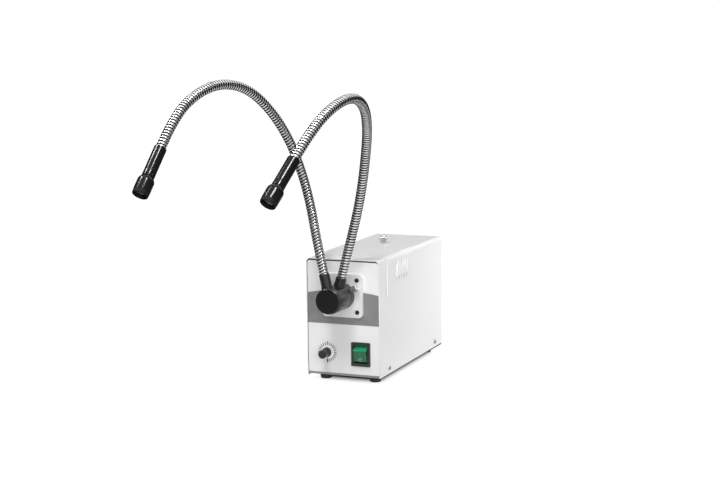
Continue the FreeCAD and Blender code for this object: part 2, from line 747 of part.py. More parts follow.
def make_lamp_hatch():
    gap = SLIP_FIT
    low = CASE_TOP - HATCH_DROP
    outer = u_section(
        CASE_W / 2 + gap + HATCH_T, low, hatch_top(), COVER_R + gap + HATCH_T,
        HATCH_FRONT, HATCH_REAR,
    )
    inner = u_section(
        CASE_W / 2 + gap, low - 1, CASE_TOP + gap, COVER_R + gap,
        HATCH_FRONT - 1, HATCH_REAR + 1,
    )
    tab = box(around(0, TAB_W / 2), (HATCH_REAR - 1, SCREW_Y), (CASE_TOP + gap, hatch_top()))
    tab_end = rod(TAB_W / 2, V(0, SCREW_Y, CASE_TOP + gap), V(0, SCREW_Y, hatch_top()))
    hatch = union([outer.cut(inner), tab, tab_end])
    hatch = hatch.cut(hole(V(0, SCREW_Y, hatch_top()), Z_AXIS, SHANK_HOLE_R, 5))
    for n in range(SLOT_COUNT):
        middle = SLOT_FIRST + n * SLOT_PITCH
        hatch = hatch.cut(box((-CASE_W, CASE_W), around(middle, SLOT_W / 2),
                              (slot_top() - SLOT_H, slot_top())))
    return hatch


# ----------------------------------------------------------------------------- fan
def fan_front():
    return REAR_BACK - FAN_DEPTH


def make_fan_frame():
    frame = round_rect_y(around(0, FAN_SIZE / 2), around(FAN_Z, FAN_SIZE / 2), 4.0, fan_front(), REAR_BACK)
    frame = frame.cut(along_y(FAN_DUCT_R, 0, FAN_Z, fan_front() - 1, REAR_BACK + 1))
    plate = along_y(FAN_PLATE_R, 0, FAN_Z, REAR_BACK - FAN_PLATE_T, REAR_BACK)
    struts = []
    for n in range(4):
        strut = box(around(0, FAN_STRUT_W / 2), (REAR_BACK - FAN_PLATE_T, REAR_BACK),
                    (FAN_Z + FAN_PLATE_R - 2, FAN_Z + FAN_DUCT_R + 1))
        strut.rotate(FAN_AXIS, Y_AXIS, 90 * n)
        struts.append(strut)
    axle = along_y(FAN_AXLE_R, 0, FAN_Z, fan_front() + FAN_PLATE_T + 2, REAR_BACK - FAN_PLATE_T / 2)
    whole = union([frame, plate, axle] + struts)
    return drilled(whole, FAN_SEATS)


def make_fan_rotor():
    front = fan_front() + FAN_PLATE_T
    back = REAR_BACK - FAN_PLATE_T - 1
    hub = along_y(FAN_HUB_R, 0, FAN_Z, front, back)
    blades = []
    reach = FAN_DUCT_R - FAN_TIP_GAP
    for n in range(FAN_BLADES):
        blade = box(around(0, FAN_BLADE_T / 2), (front + 1, back - 1), (FAN_HUB_R - 2, reach))
        blade.rotate(V(0, (front + back) / 2, 0), Z_AXIS, 38)
        blade = blade.common(along_y(reach, 0, 0, front, back))
        blade.translate(FAN_AXIS)
        blade.rotate(FAN_AXIS, Y_AXIS, 360 * n / FAN_BLADES)
        blades.append(blade)
    bore = along_y(FAN_AXLE_R + RUN_FIT, 0, FAN_Z, front + 1, back + 1)
    return union([hub] + blades).cut(bore)


def make_fan_guard():
    leg_y = REAR_FACE + GUARD_WIRE_R
    ring_y = leg_y + GUARD_WIRE_R * 1.3
    pieces = []
    for radius in GUARD_RINGS + [GUARD_HUB_R]:
        pieces.append(Part.makeTorus(radius, GUARD_WIRE_R, V(0, ring_y, FAN_Z), Y_AXIS))
    for seat, outward in FAN_SEATS:
        spoke = V(seat.x, 0, seat.z - FAN_Z)
        way = V(spoke).normalize()
        start = V(0, leg_y, FAN_Z) + way * (GUARD_HUB_R - GUARD_WIRE_R)
        end = V(0, leg_y, FAN_Z) + way * (spoke.Length - GUARD_LOOP_R + GUARD_WIRE_R)
        pieces.append(rod(GUARD_WIRE_R, start, end))
        loop = along_y(GUARD_LOOP_R, seat.x, seat.z, REAR_FACE, GUARD_FOOT)
        pieces.append(loop.cut(along_y(SCREW_HOLE_R, seat.x, seat.z, REAR_FACE - 1, GUARD_FOOT + 1)))
    return pieces[0].fuse(pieces[1:])


# --------------------------------------------------------- mains inlet and selector
def inlet_block(y0, y1, extra=0.0):
    return box(around(INLET_X, INLET_BODY_W / 2 + extra), (y0, y1), around(INLET_Z, INLET_BODY_H / 2 + extra))


def drawer_block(y0, y1, extra=0.0):
    return box(
        around(INLET_X, DRAWER_W / 2 + extra), (y0, y1),
        around(INLET_Z + DRAWER_RISE, DRAWER_H / 2 + extra),
    )


def inlet_face():
    return REAR_FACE + INLET_T


def pin_places():
    """Live, neutral and earth, as x and z from the socket's centre."""
    rise = PIN_EARTH_DROP / 2
    return [(-PIN_SPREAD, rise), (PIN_SPREAD, rise), (0, -rise)]


def pin_blade(x, z, y0, y1, extra=0.0):
    return box(
        around(INLET_X + x, PIN_T / 2 + extra), (y0, y1),
        around(INLET_Z - SOCKET_DROP + z, PIN_W / 2 + extra),
    )


def make_inlet_body():
    half, top, tall = INLET_W / 2, INLET_TOP / 2, INLET_TALL / 2
    outline = [(-half, 0), (-top, tall), (top, tall), (half, 0), (top, -tall), (-top, -tall)]
    points = [V(INLET_X + x, REAR_FACE, INLET_Z + z) for x, z in outline]
    flange = prism(points, V(0, INLET_T, 0))
    corners = [e for e in flange.Edges if abs(e.tangentAt(e.FirstParameter).y) > 0.9]
    flange = flange.makeFillet(2.0, corners)
    face = [e for e in flange.Edges if e.BoundBox.YMin > inlet_face() - 0.01]
    flange = flange.makeFillet(0.7, face)
    body = union([flange, inlet_block(REAR_FACE - INLET_DEPTH, REAR_FACE)])
    low = INLET_Z - SOCKET_DROP
    bevel = SOCKET_H * 0.3
    half_w, half_h = SOCKET_W / 2, SOCKET_H / 2
    mouth = [
        (-half_w, half_h), (half_w, half_h), (half_w, bevel - half_h), (half_w - bevel, -half_h),
        (bevel - half_w, -half_h), (-half_w, bevel - half_h),
    ]
    points = [V(INLET_X + x, inlet_face() - SOCKET_DEPTH, low + z) for x, z in mouth]
    body = body.cut(prism(points, V(0, SOCKET_DEPTH + 1, 0)))
    body = body.cut(drawer_block(inlet_face() - DRAWER_LEN - SLIP_FIT, inlet_face() + 1, SLIP_FIT))
    for x, z in pin_places():
        slot_end = inlet_face() - SOCKET_DEPTH + 1
        body = body.cut(pin_blade(x, z, REAR_FACE - INLET_DEPTH - 1, slot_end, RUN_FIT))
    return drilled(body, INLET_SEATS)


def make_inlet_pins():
    root = inlet_face() - SOCKET_DEPTH
    tail = REAR_FACE - INLET_DEPTH - TAB_LEN
    return group([pin_blade(x, z, tail, root + PIN_LEN) for x, z in pin_places()])


def fuse_places():
    """The working fuse and the spare, as y from the drawer's front."""
    first = DRAWER_LEN / 2 - FUSE_PITCH / 2
    return [inlet_face() - first - n * FUSE_PITCH for n in range(2)]


def make_fuse_drawer():
    drawer = drawer_block(inlet_face() - DRAWER_LEN, inlet_face() + DRAWER_FACE)
    z = INLET_Z + DRAWER_RISE
    for y in fuse_places():
        x_limits = around(INLET_X, FUSE_LEN / 2 + SLIP_FIT)
        pocket = rod(FUSE_R + RUN_FIT, V(x_limits[0], y, z), V(x_limits[1], y, z))
        mouth = box(x_limits, around(y, FUSE_R + RUN_FIT), (z, z + DRAWER_H))
        drawer = drawer.cut(pocket.fuse(mouth))
    groove_z = around(z, 0.5)
    face_y = inlet_face() + DRAWER_FACE
    return drawer.cut(box(around(INLET_X, DRAWER_W / 4), (face_y - 0.5, face_y + 1), groove_z))


def make_fuses():
    z = INLET_Z + DRAWER_RISE
    half = FUSE_LEN / 2
    return group([rod(FUSE_R, V(INLET_X - half, y, z), V(INLET_X + half, y, z)) for y in fuse_places()])


def selector_block(y0, y1, extra=0.0):
    return box(
        around(SELECTOR_X, SELECTOR_W / 2 + extra), (y0, y1),
        around(INLET_Z, SELECTOR_TALL / 2 + extra),
    )


def make_selector_body():
    ear = box(
        around(SELECTOR_X, SELECTOR_EAR / 2), (REAR_BACK - CHASSIS_T, REAR_BACK),
        around(INLET_Z, SELECTOR_EAR_H / 2),
    )
    body = selector_block(REAR_BACK - SELECTOR_DEPTH, REAR_FACE)
    window = box(
        around(SELECTOR_X, SELECTOR_WINDOW_W / 2), (REAR_BACK - SELECTOR_DEPTH / 2, REAR_FACE + 1),
        around(INLET_Z, SELECTOR_WINDOW_H / 2),
    )
    return drilled(union([ear, body]).cut(window), SELECTOR_SEATS)


def make_selector_slider():
    start = SELECTOR_X - (SLIDER_W + SLIDER_TRAVEL) / 2
    slider = box(
        (start, start + SLIDER_W),
        (REAR_BACK - SELECTOR_DEPTH / 2 + RUN_FIT, REAR_FACE - 0.8),
        around(INLET_Z, SELECTOR_WINDOW_H / 2 - SLIP_FIT),
    )
    groove = box((start - 1, start + SLIDER_W + 1), (REAR_FACE - 1.6, REAR_FACE), around(INLET_Z, 0.5))
    return slider.cut(groove)


# -------------------------------------------------------------------------- inside
def make_halogen_lamp():
    """A dichroic reflector lamp, cemented to its base, with its capsule and pins."""
    rim = LAMP_RIM + BRACKET_T
    back = rim + LAMP_DEPTH
    bowl = cone(LAMP_R, LAMP_NECK_R, V(0, rim, AXIS_Z), V(0, back, AXIS_Z))
    hollow = cone(LAMP_R - LAMP_WALL, LAMP_NECK_R - LAMP_WALL, V(0, rim - 0.01, AXIS_Z),
                  V(0, back - 2 * LAMP_WALL, AXIS_Z))
    base = box(around(0, LAMP_BASE_W / 2), (back, back + LAMP_BASE_LEN), around(AXIS_Z, LAMP_BASE_T / 2))
    capsule = along_y(LAMP_NECK_R / 2.4, 0, AXIS_Z, back - LAMP_DEPTH * 0.55, back - LAMP_WALL)
    pins = [
        along_y(LAMP_PIN_R, side * LAMP_PIN_SPREAD, AXIS_Z, back + LAMP_BASE_LEN - 1,
                back + LAMP_BASE_LEN + LAMP_PIN_LEN)
        for side in (-1, 1)
    ]
    return union([bowl.cut(hollow), base, capsule] + pins)


def make_lamp_socket():
    start = LAMP_RIM + BRACKET_T + LAMP_DEPTH + LAMP_BASE_LEN
    block = box(
        around(0, LAMP_SOCKET_W / 2), (start, start + LAMP_SOCKET_LEN),
        around(AXIS_Z, LAMP_SOCKET_H / 2),
    )
    for side in (-1, 1):
        x = side * LAMP_PIN_SPREAD
        block = block.cut(along_y(LAMP_PIN_R + RUN_FIT, x, AXIS_Z, start - 1, start + LAMP_PIN_LEN + 1))
    return block


def make_lamp_bracket():
    half = BRACKET_W / 2
    plate = box((-half, half), (BRACKET_Y, BRACKET_Y + BRACKET_T), (FLOOR, AXIS_Z + BRACKET_OVER))
    foot = box((-half, half), (BRACKET_Y - BRACKET_FOOT, BRACKET_Y), (FLOOR, FLOOR + BRACKET_T))
    rear_rim = along_y(LAMP_R + SLIP_FIT + BRACKET_T, 0, AXIS_Z, BRACKET_Y + BRACKET_T,
                       BRACKET_Y + BRACKET_T + RIM_DEPTH)
    rear_rim = rear_rim.cut(along_y(LAMP_R + SLIP_FIT, 0, AXIS_Z, BRACKET_Y, BRACKET_Y + 2 * RIM_DEPTH))
    front_rim = along_y(FILTER_R + SLIP_FIT + BRACKET_T, 0, AXIS_Z, BRACKET_Y - RIM_DEPTH, BRACKET_Y)
    filter_room = along_y(FILTER_R + SLIP_FIT, 0, AXIS_Z, BRACKET_Y - 2 * RIM_DEPTH, BRACKET_Y + 1)
    front_rim = front_rim.cut(filter_room)
    bracket = union([plate, foot, rear_rim, front_rim])
    light_way = along_y(LAMP_R - 2 * LAMP_WALL, 0, AXIS_Z, BRACKET_Y - 1, BRACKET_Y + BRACKET_T + 1)
    bracket = bracket.cut(light_way)
    return drilled(bracket, BRACKET_SEATS)


def make_heat_filter():
    back = BRACKET_Y
    return along_y(FILTER_R, 0, AXIS_Z, back - FILTER_T, back)


def make_transformer():
    core = box(around(0, CORE_W / 2), around(CORE_Y, CORE_D / 2),
               (FLOOR + CLAMP_T, FLOOR + CLAMP_T + CORE_H))
    middle = FLOOR + CLAMP_T + CORE_H / 2
    window = box(around(0, COIL_W / 2 + 4), around(CORE_Y, CORE_D), around(middle, COIL_H / 2))
    limb = box(around(0, COIL_W / 4), around(CORE_Y, CORE_D / 2), around(middle, COIL_H / 2))
    coil = box(around(0, COIL_W / 2 + 4), around(CORE_Y, COIL_D / 2), around(middle, COIL_H / 2))
    edges = [e for e in coil.Edges if abs(e.tangentAt(e.FirstParameter).z) > 0.9]
    coil = coil.makeFillet(5.0, edges)
    clamp = box(around(0, CORE_W / 2 + CLAMP_EAR), around(CORE_Y, CORE_D / 4), (FLOOR, FLOOR + CLAMP_T))
    core = core.cut(window).fuse(limb).removeSplitter()
    return group([core, coil.cut(limb), drilled(clamp, CLAMP_SEATS)])


def make_control_board():
    board_z = (FLOOR + STANDOFF_H, BOARD_TOP)
    board = box(around(0, BOARD_W / 2), around(BOARD_Y, BOARD_D / 2), board_z)
    sink = box(around(-BOARD_W / 5, SINK_W / 2), around(BOARD_Y, 1.5), (BOARD_TOP, BOARD_TOP + SINK_H))
    fins = [
        box(around(-BOARD_W / 5 + n * SINK_W / 5, 0.8), around(BOARD_Y, 6), (BOARD_TOP, BOARD_TOP + SINK_H))
        for n in (-2, -1, 0, 1, 2)
    ]
    capacitor_foot = V(BOARD_W / 6, BOARD_Y, BOARD_TOP)
    capacitor = rod(CAPACITOR_R, capacitor_foot, capacitor_foot + Z_AXIS * CAPACITOR_H)
    choke_foot = V(BOARD_W / 3, BOARD_Y, BOARD_TOP)
    choke = rod(CHOKE_R, choke_foot, choke_foot + Z_AXIS * CHOKE_H)
    posts = [
        rod(STANDOFF_R, V(seat.x, seat.y, FLOOR), V(seat.x, seat.y, FLOOR + STANDOFF_H))
        for seat, outward in BOARD_SEATS
    ]
    return drilled(union([board, sink, capacitor, choke] + fins + posts), BOARD_SEATS)


# ---------------------------------------------------------- light guide's head end
def arm_axis(lean, place):
    """Where an arm leaves the manifold's axis, and which way."""
    angle = math.radians(lean)
    return V(0, MANIFOLD_BACK - place, AXIS_Z), V(math.sin(angle), 0, math.cos(angle))


ARMS = {
    "left": arm_axis(LEFT_LEAN, LEFT_PLACE) + (LEFT_TOP, LEFT_ROUTE),
    "right": arm_axis(RIGHT_LEAN, RIGHT_PLACE) + (RIGHT_TOP, RIGHT_ROUTE),
}


def make_ferrule():
    barrel = along_y(FERRULE_R, 0, AXIS_Z, MANIFOLD_BACK + RUN_FIT, FERRULE_END)
    nose = along_y(FERRULE_NOSE_R, 0, AXIS_Z, MANIFOLD_BACK - FERRULE_NOSE, MANIFOLD_BACK + RUN_FIT)
    bore = along_y(TRUNK_R + RUN_FIT, 0, AXIS_Z, MANIFOLD_BACK - FERRULE_NOSE - 1, FERRULE_END + 1)
    return union([barrel, nose]).cut(bore)


def make_manifold():
    face = MANIFOLD_FACE
    body = along_y(MANIFOLD_R, 0, AXIS_Z, face + CAP_T, MANIFOLD_BACK)
    cap = along_y(MANIFOLD_R - CAP_STEP, 0, AXIS_Z, face, face + CAP_T)
    rim = [e for e in cap.Edges if e.BoundBox.YMax < face + 0.1 and e.Length > MANIFOLD_R]
    cap = cap.makeChamfer(1.0, rim)
    whole = union([body, cap])
    nose_end = MANIFOLD_BACK - FERRULE_NOSE
    journal = along_y(FERRULE_NOSE_R + RUN_FIT, 0, AXIS_Z, nose_end - 1, MANIFOLD_BACK + 1)
    cavity = along_y(MANIFOLD_R - MANIFOLD_WALL, 0, AXIS_Z, face + MANIFOLD_WALL, nose_end - RUN_FIT)
    whole = whole.cut(journal).cut(cavity)
    for root, way, top, route in ARMS.values():
        seat = root + way * ARM_COLLAR_ROOT
        whole = whole.cut(rod(ARM_COLLAR_R + RUN_FIT, seat, root + way * 2 * MANIFOLD_R))
    return whole


def make_arm_collars():
    collars = []
    for root, way, top, route in ARMS.values():
        tube = rod(ARM_COLLAR_R, root + way * ARM_COLLAR_ROOT, root + way * top)
        spigot = rod(ARM_SPIGOT_R, root + way * top, root + way * (top + ARM_SPIGOT_LEN))
        end = root + way * (top + ARM_SPIGOT_LEN + 1)
        bore = rod(FIBRE_R + RUN_FIT, root + way * (ARM_COLLAR_ROOT - 1), end)
        collars.append(tube.fuse(spigot).removeSplitter().cut(bore))
    return group(collars)


# ---------------------------------------------------------------------- goosenecks
def route_points(arm):
    root, way, top, route = ARMS[arm]
    start = root + way * top
    return [start, start + way * FIRST_RUN] + route


def pivot_runs(arm):
    """The runs whose middles hold the pivots: every third one, and the last but one."""
    last = len(route_points(arm)) - 3
    return list(range(0, last, 3)) + [last]


def pivot_points(arm):
    points = route_points(arm)
    return [(points[n] + points[n + 1]) * 0.5 for n in pivot_runs(arm)]


def bent_path(points):
    """Straight runs joined by the largest arcs that the runs allow."""
    edges = []
    here = points[0]
    for n in range(1, len(points) - 1):
        back = (points[n - 1] - points[n]).normalize()
        ahead = (points[n + 1] - points[n]).normalize()
        turn = math.pi - back.getAngle(ahead)
        shorter = min(run_length(points, n), run_length(points, n + 1))
        setback = ARC_SHARE * shorter
        start = points[n] + back * setback
        end = points[n] + ahead * setback
        radius = setback / math.tan(turn / 2)
        bisector = (back + ahead).normalize()
        middle = points[n] + bisector * (radius / math.cos(turn / 2) - radius)
        edges.append(Part.LineSegment(here, start).toShape())
        edges.append(Part.Arc(start, middle, end).toShape())
        RADII.append(radius)
        here = end
    edges.append(Part.LineSegment(here, points[-1]).toShape())
    return Part.Wire(edges)


def run_length(points, n):
    """The run that ends at point n, counted in full where it holds the path's end."""
    length = (points[n] - points[n - 1]).Length
    at_end = n == 1 or n == len(points) - 1
    return length * 2 if at_end and len(points) > 2 else length


RADII = []


def pipe(radius, path):
    """A round bar along a path."""
    start = path.OrderedVertexes[0].Point
    way = path.OrderedEdges[0].tangentAt(path.OrderedEdges[0].FirstParameter)
    ring = Part.Wire(Part.makeCircle(radius, start, way))
    bar = path.makePipeShell([ring], True, False)
    if abs(bar.Volume - math.pi * radius ** 2 * path.Length) > 0.01 * bar.Volume:
        print("pipe volume is off", bar.Volume, path.Length)
    return bar


def spans(arm):
    """The route cut at its pivots: the fixed root, then one span per moving length."""
    points = route_points(arm)
    pivots = pivot_points(arm)
    cuts = [(-1, points[0])] + list(zip(pivot_runs(arm), pivots)) + [(len(points) - 1, points[-1])]
    found = []
    for (low_run, low), (high_run, high) in zip(cuts, cuts[1:]):
        between = [points[n] for n in range(low_run + 1, high_run + 1) if n > 0 and n < len(points) - 1]
        found.append([low] + between + [high])
    return found


def span_solid(points, radius, bore, starts_at_pivot, ends_at_pivot):
    """One length of hose or bundle: a ball at its far end, a cup at its near end."""
    path = bent_path(points)
    bar = pipe(radius, path)
    first = (points[1] - points[0]).normalize()
    last = (points[-1] - points[-2]).normalize()
    if ends_at_pivot:
        bar = bar.fuse(ball_end(radius, points[-1], last))
    if starts_at_pivot:
        bar = bar.cut(Part.makeSphere(HOSE_R + RUN_FIT, points[0], first))
        near = rod(2 * HOSE_R, points[0] - first * HOSE_R, points[0] + first * CUP_START)
        bar = bar.cut(near)
    if bore:
        core = pipe(bore, path)
        core = core.fuse(rod(bore, points[0] - first * HOSE_R, points[0] + first * 0.5))
        core = core.fuse(rod(bore, points[-1] - last * 0.5, points[-1] + last * 2 * HOSE_R))
        bar = bar.cut(core)
    return bar.removeSplitter()


def ball_end(radius, centre, way):
    """The front of a bar of this radius, rounded by the ball of the joint."""
    flat = math.sqrt(HOSE_R ** 2 - radius ** 2)
    side = centre + way * flat
    ball = Part.makeSphere(HOSE_R, centre, way, 0, 90, 360)
    return ball if radius == HOSE_R else ball.common(rod(radius, centre, side + way * HOSE_R))


def make_hose(arm, number):
    all_spans = spans(arm)
    points = all_spans[number]
    last = number == len(all_spans) - 1
    if last:
        way = (points[-1] - points[-2]).normalize()
        points = points[:-1] + [points[-1] + way * SLEEVE_PLUG]
    return span_solid(points, HOSE_R, HOSE_BORE_R, number > 0, not last)


def nozzle_axis(arm):
    points = route_points(arm)
    return points[-1], (points[-1] - points[-2]).normalize()


def lens_back():
    """The back of the lens, along the nozzle from the sleeve's start."""
    return SLEEVE_LEN + HEAD_LEN - LENS_INSET - LENS_T


def make_fibre(arm, number):
    all_spans = spans(arm)
    points = all_spans[number]
    last = number == len(all_spans) - 1
    if last:
        way = (points[-1] - points[-2]).normalize()
        points = points[:-1] + [points[-1] + way * (lens_back() - SLIP_FIT)]
    return span_solid(points, FIBRE_R, 0, number > 0, not last)


def make_fibre_trunk():
    """The common end, its two branches inside the manifold, and the fixed roots."""
    pieces = [along_y(TRUNK_R, 0, AXIS_Z, MANIFOLD_BACK - LEFT_PLACE, FERRULE_END)]
    for arm, (root, way, top, route) in ARMS.items():
        pieces.append(rod(FIBRE_R, root, root + way * top))
        pieces.append(make_fibre(arm, 0))
    return union(pieces)


# -------------------------------------------------------------------------- nozzle
def make_sleeve(arm):
    start, way = nozzle_axis(arm)
    tube = rod(SLEEVE_R, start, start + way * SLEEVE_LEN)
    rim = [e for e in tube.Edges if e.CenterOfMass.distanceToPoint(start) < 0.1 and e.Length > SLEEVE_R]
    tube = tube.makeFillet(1.0, rim)
    neck = rod(SLEEVE_R - GROOVE, start + way * SLEEVE_LEN, start + way * (SLEEVE_LEN + 2 * HEAD_SHOULDER))
    bore = rod(FIBRE_R + RUN_FIT, start - way, start + way * (SLEEVE_LEN + HEAD_LEN))
    socket = rod(HOSE_R + RUN_FIT, start - way, start + way * SLEEVE_PLUG)
    return union([tube, neck]).cut(bore).cut(socket)


def make_head(arm):
    start, way = nozzle_axis(arm)
    root = start + way * (SLEEVE_LEN + GROOVE)
    shoulder = start + way * (SLEEVE_LEN + GROOVE + HEAD_SHOULDER)
    end = start + way * (SLEEVE_LEN + HEAD_LEN)
    barrel = rod(HEAD_R, shoulder, end)
    rim = [e for e in barrel.Edges if e.CenterOfMass.distanceToPoint(end) < 0.1 and e.Length > HEAD_R]
    barrel = barrel.makeFillet(0.8, rim)
    whole = union([cone(SLEEVE_R, HEAD_R, root, shoulder), barrel])
    neck_end = start + way * (SLEEVE_LEN + 2 * HEAD_SHOULDER)
    whole = whole.cut(rod(SLEEVE_R - GROOVE + RUN_FIT, root - way, neck_end))
    whole = whole.cut(rod(FIBRE_R + 1, root, end))
    lens_start = start + way * lens_back()
    whole = whole.cut(rod(LENS_R + RUN_FIT, lens_start, end + way))
    return whole


def make_lens(arm):
    start, way = nozzle_axis(arm)
    back = start + way * lens_back()
    front = back + way * LENS_T
    disc = rod(LENS_R, back, front)
    dome_r = LENS_R * 2.2
    dome = Part.makeSphere(dome_r, front - way * dome_r, way, 0, 90, 360)
    return disc.common(dome)


# ------------------------------------------------------------------------- all out
os.makedirs("parts", exist_ok=True)
save("chassis", make_chassis())
save("front_panel", make_front_panel())
save("cover", make_cover())
save("feet", make_feet())
save("screws", make_screws())
save("socket_plate", make_socket_plate())
save("socket_collar", make_socket_collar())
save("switch_body", make_switch_body())
save("rocker", make_rocker())
save("pot_body", make_pot_body())
save("pot_nut", make_pot_nut())
save("knob", make_knob())
save("knob_shaft", make_knob_shaft())
save("inlet_body", make_inlet_body())
save("inlet_pins", make_inlet_pins())
save("fuse_drawer", make_fuse_drawer())
save("fuses", make_fuses())
save("selector_body", make_selector_body())
save("selector_slider", make_selector_slider())
save("fan_frame", make_fan_frame())
save("fan_rotor", make_fan_rotor())
save("fan_guard", make_fan_guard())
save("transformer", make_transformer())
save("control_board", make_control_board())
save("lamp_bracket", make_lamp_bracket())
save("halogen_lamp", make_halogen_lamp())
save("lamp_socket", make_lamp_socket())
save("heat_filter", make_heat_filter())
save("lamp_hatch", make_lamp_hatch())
save("hatch_screw", make_hatch_screw())
save("hatch_screw_head", make_hatch_screw_head())
save("collar_screw", make_collar_screw())
save("collar_screw_head", make_collar_screw_head())
save("ferrule", make_ferrule())
save("manifold", make_manifold())
save("arm_collars", make_arm_collars())
save("fibre_trunk", make_fibre_trunk())
save("hose_roots", group([make_hose(arm, 0) for arm in ARMS]))
for arm in ARMS:
    for number in range(1, len(pivot_runs(arm)) + 1):
        save(f"hose_{arm}_{number}", make_hose(arm, number))
        save(f"fibre_{arm}_{number}", make_fibre(arm, number))
    save(f"nozzle_sleeve_{arm}", make_sleeve(arm))
    save(f"nozzle_head_{arm}", make_head(arm))
    save(f"nozzle_lens_{arm}", make_lens(arm))
    print(arm, "pivots", [tuple(round(c, 2) for c in p) for p in pivot_points(arm)])
print("bend radii", sorted(round(r, 1) for r in RADII)[:4])
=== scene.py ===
import bmesh
import bpy
import math
from mathutils import Matrix, Vector


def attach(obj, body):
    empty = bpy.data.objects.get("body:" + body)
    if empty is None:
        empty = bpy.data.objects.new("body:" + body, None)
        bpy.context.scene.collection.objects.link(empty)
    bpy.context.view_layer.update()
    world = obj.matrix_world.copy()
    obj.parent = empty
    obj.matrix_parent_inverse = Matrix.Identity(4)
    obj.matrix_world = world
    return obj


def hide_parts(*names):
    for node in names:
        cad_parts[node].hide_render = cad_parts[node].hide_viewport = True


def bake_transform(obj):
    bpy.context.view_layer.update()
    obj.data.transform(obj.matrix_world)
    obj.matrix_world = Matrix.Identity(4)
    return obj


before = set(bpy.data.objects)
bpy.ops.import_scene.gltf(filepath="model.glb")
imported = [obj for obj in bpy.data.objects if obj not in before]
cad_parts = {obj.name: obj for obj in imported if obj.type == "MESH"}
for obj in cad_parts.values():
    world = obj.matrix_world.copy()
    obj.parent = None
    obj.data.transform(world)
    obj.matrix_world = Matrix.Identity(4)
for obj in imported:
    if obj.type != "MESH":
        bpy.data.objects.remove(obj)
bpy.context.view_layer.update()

# All sizes below are in millimetres and are turned into metres when a piece is finished.
MM = 0.001

# ---- places on the case
CASE_BOTTOM = 10.5
CASE_TOP = 175.5
HALF_WIDTH = 55.0
COVER_SHEET = 1.2
LIP_HEIGHT = 3.0            # chassis lip under the front panel
PANEL = -128.4              # face of the front panel
PLATE = -131.4              # face of the socket plate
MANIFOLD_BACK = -143.0
AXIS_Z = 124.7              # optical axis
REAR = 128.0                # face of the rear wall
KNOB = Vector((-24.7, -129.8, 42.8))
KNOB_POINTER = -120.0       # turn of the knob's pointer, degrees clockwise from the top
SWITCH = Vector((26.1, -123.6, 42.7))
ROCKER_TILT = math.radians(12.0)
INLET = Vector((25.7, 131.0, 39.5))
SELECTOR = Vector((-27.0, 128.0, 39.5))
PLATE_SCREW = 22.5          # screws of the socket plate, from the optical axis both ways
FAN_SCREW = 41.25           # screws of the fan, from its axis both ways
FOOT_PLACE = (37.5, 104.0)  # feet from the middle of the case, across and along
SCREW_TURN = 0.9            # turn from one screw's slot to the next, in radians
SHARP = 32.0                # edges sharper than this are rounded, in degrees
HOSE_R = 6.6
HOSE_PITCH = 4.05
BUNDLE_R = 4.0
LEFT_ROOT = Vector((0.0, -174.0, AXIS_Z))
RIGHT_ROOT = Vector((0.0, -151.4, AXIS_Z))
LEFT_WAY = Vector((math.sin(math.radians(-12.5)), 0.0, math.cos(math.radians(-12.5))))
RIGHT_WAY = Vector((math.sin(math.radians(15.5)), 0.0, math.cos(math.radians(15.5))))
LEFT_TOP = 37.5
RIGHT_TOP = 30.5
LEFT_ROUTE = [
    (-27, -172, 254), (-37, -177, 300), (-48, -191, 344), (-61, -216, 383), (-76, -252, 414),
    (-91, -295, 424), (-104, -340, 414), (-114, -383, 387), (-119, -412, 349),
]
RIGHT_ROUTE = [
    (36, -161, 242), (50, -175, 284), (63, -194, 325), (77, -221, 362), (87, -254, 393),
    (90, -299, 408), (82, -344, 398), (71, -386, 371), (62, -416, 339),
]


# ---- finishes
class Tree:
    """A node tree, with the nodes that finishes and the room share."""

    def __init__(self, tree):
        self.nodes, self.links = tree.nodes, tree.links

    def ranged(self, value, low, high, start=0.3, end=0.7):
        spread = self.nodes.new("ShaderNodeMapRange")
        spread.inputs["From Min"].default_value = start
        spread.inputs["From Max"].default_value = end
        spread.inputs["To Min"].default_value = low
        spread.inputs["To Max"].default_value = high
        self.links.new(value, spread.inputs["Value"])
        return spread.outputs["Result"]

    def reckon(self, kind, operation, *sides):
        """The result of a Math or VectorMath node; a side is a number, a vector or a socket."""
        node = self.nodes.new("ShaderNode" + kind)
        node.operation = operation
        for socket, side in zip(node.inputs, sides):
            if isinstance(side, bpy.types.NodeSocket):
                self.links.new(side, socket)
            else:
                socket.default_value = side
        single = kind == "Math" or operation in ("LENGTH", "DISTANCE")
        return node.outputs["Value" if single else "Vector"]


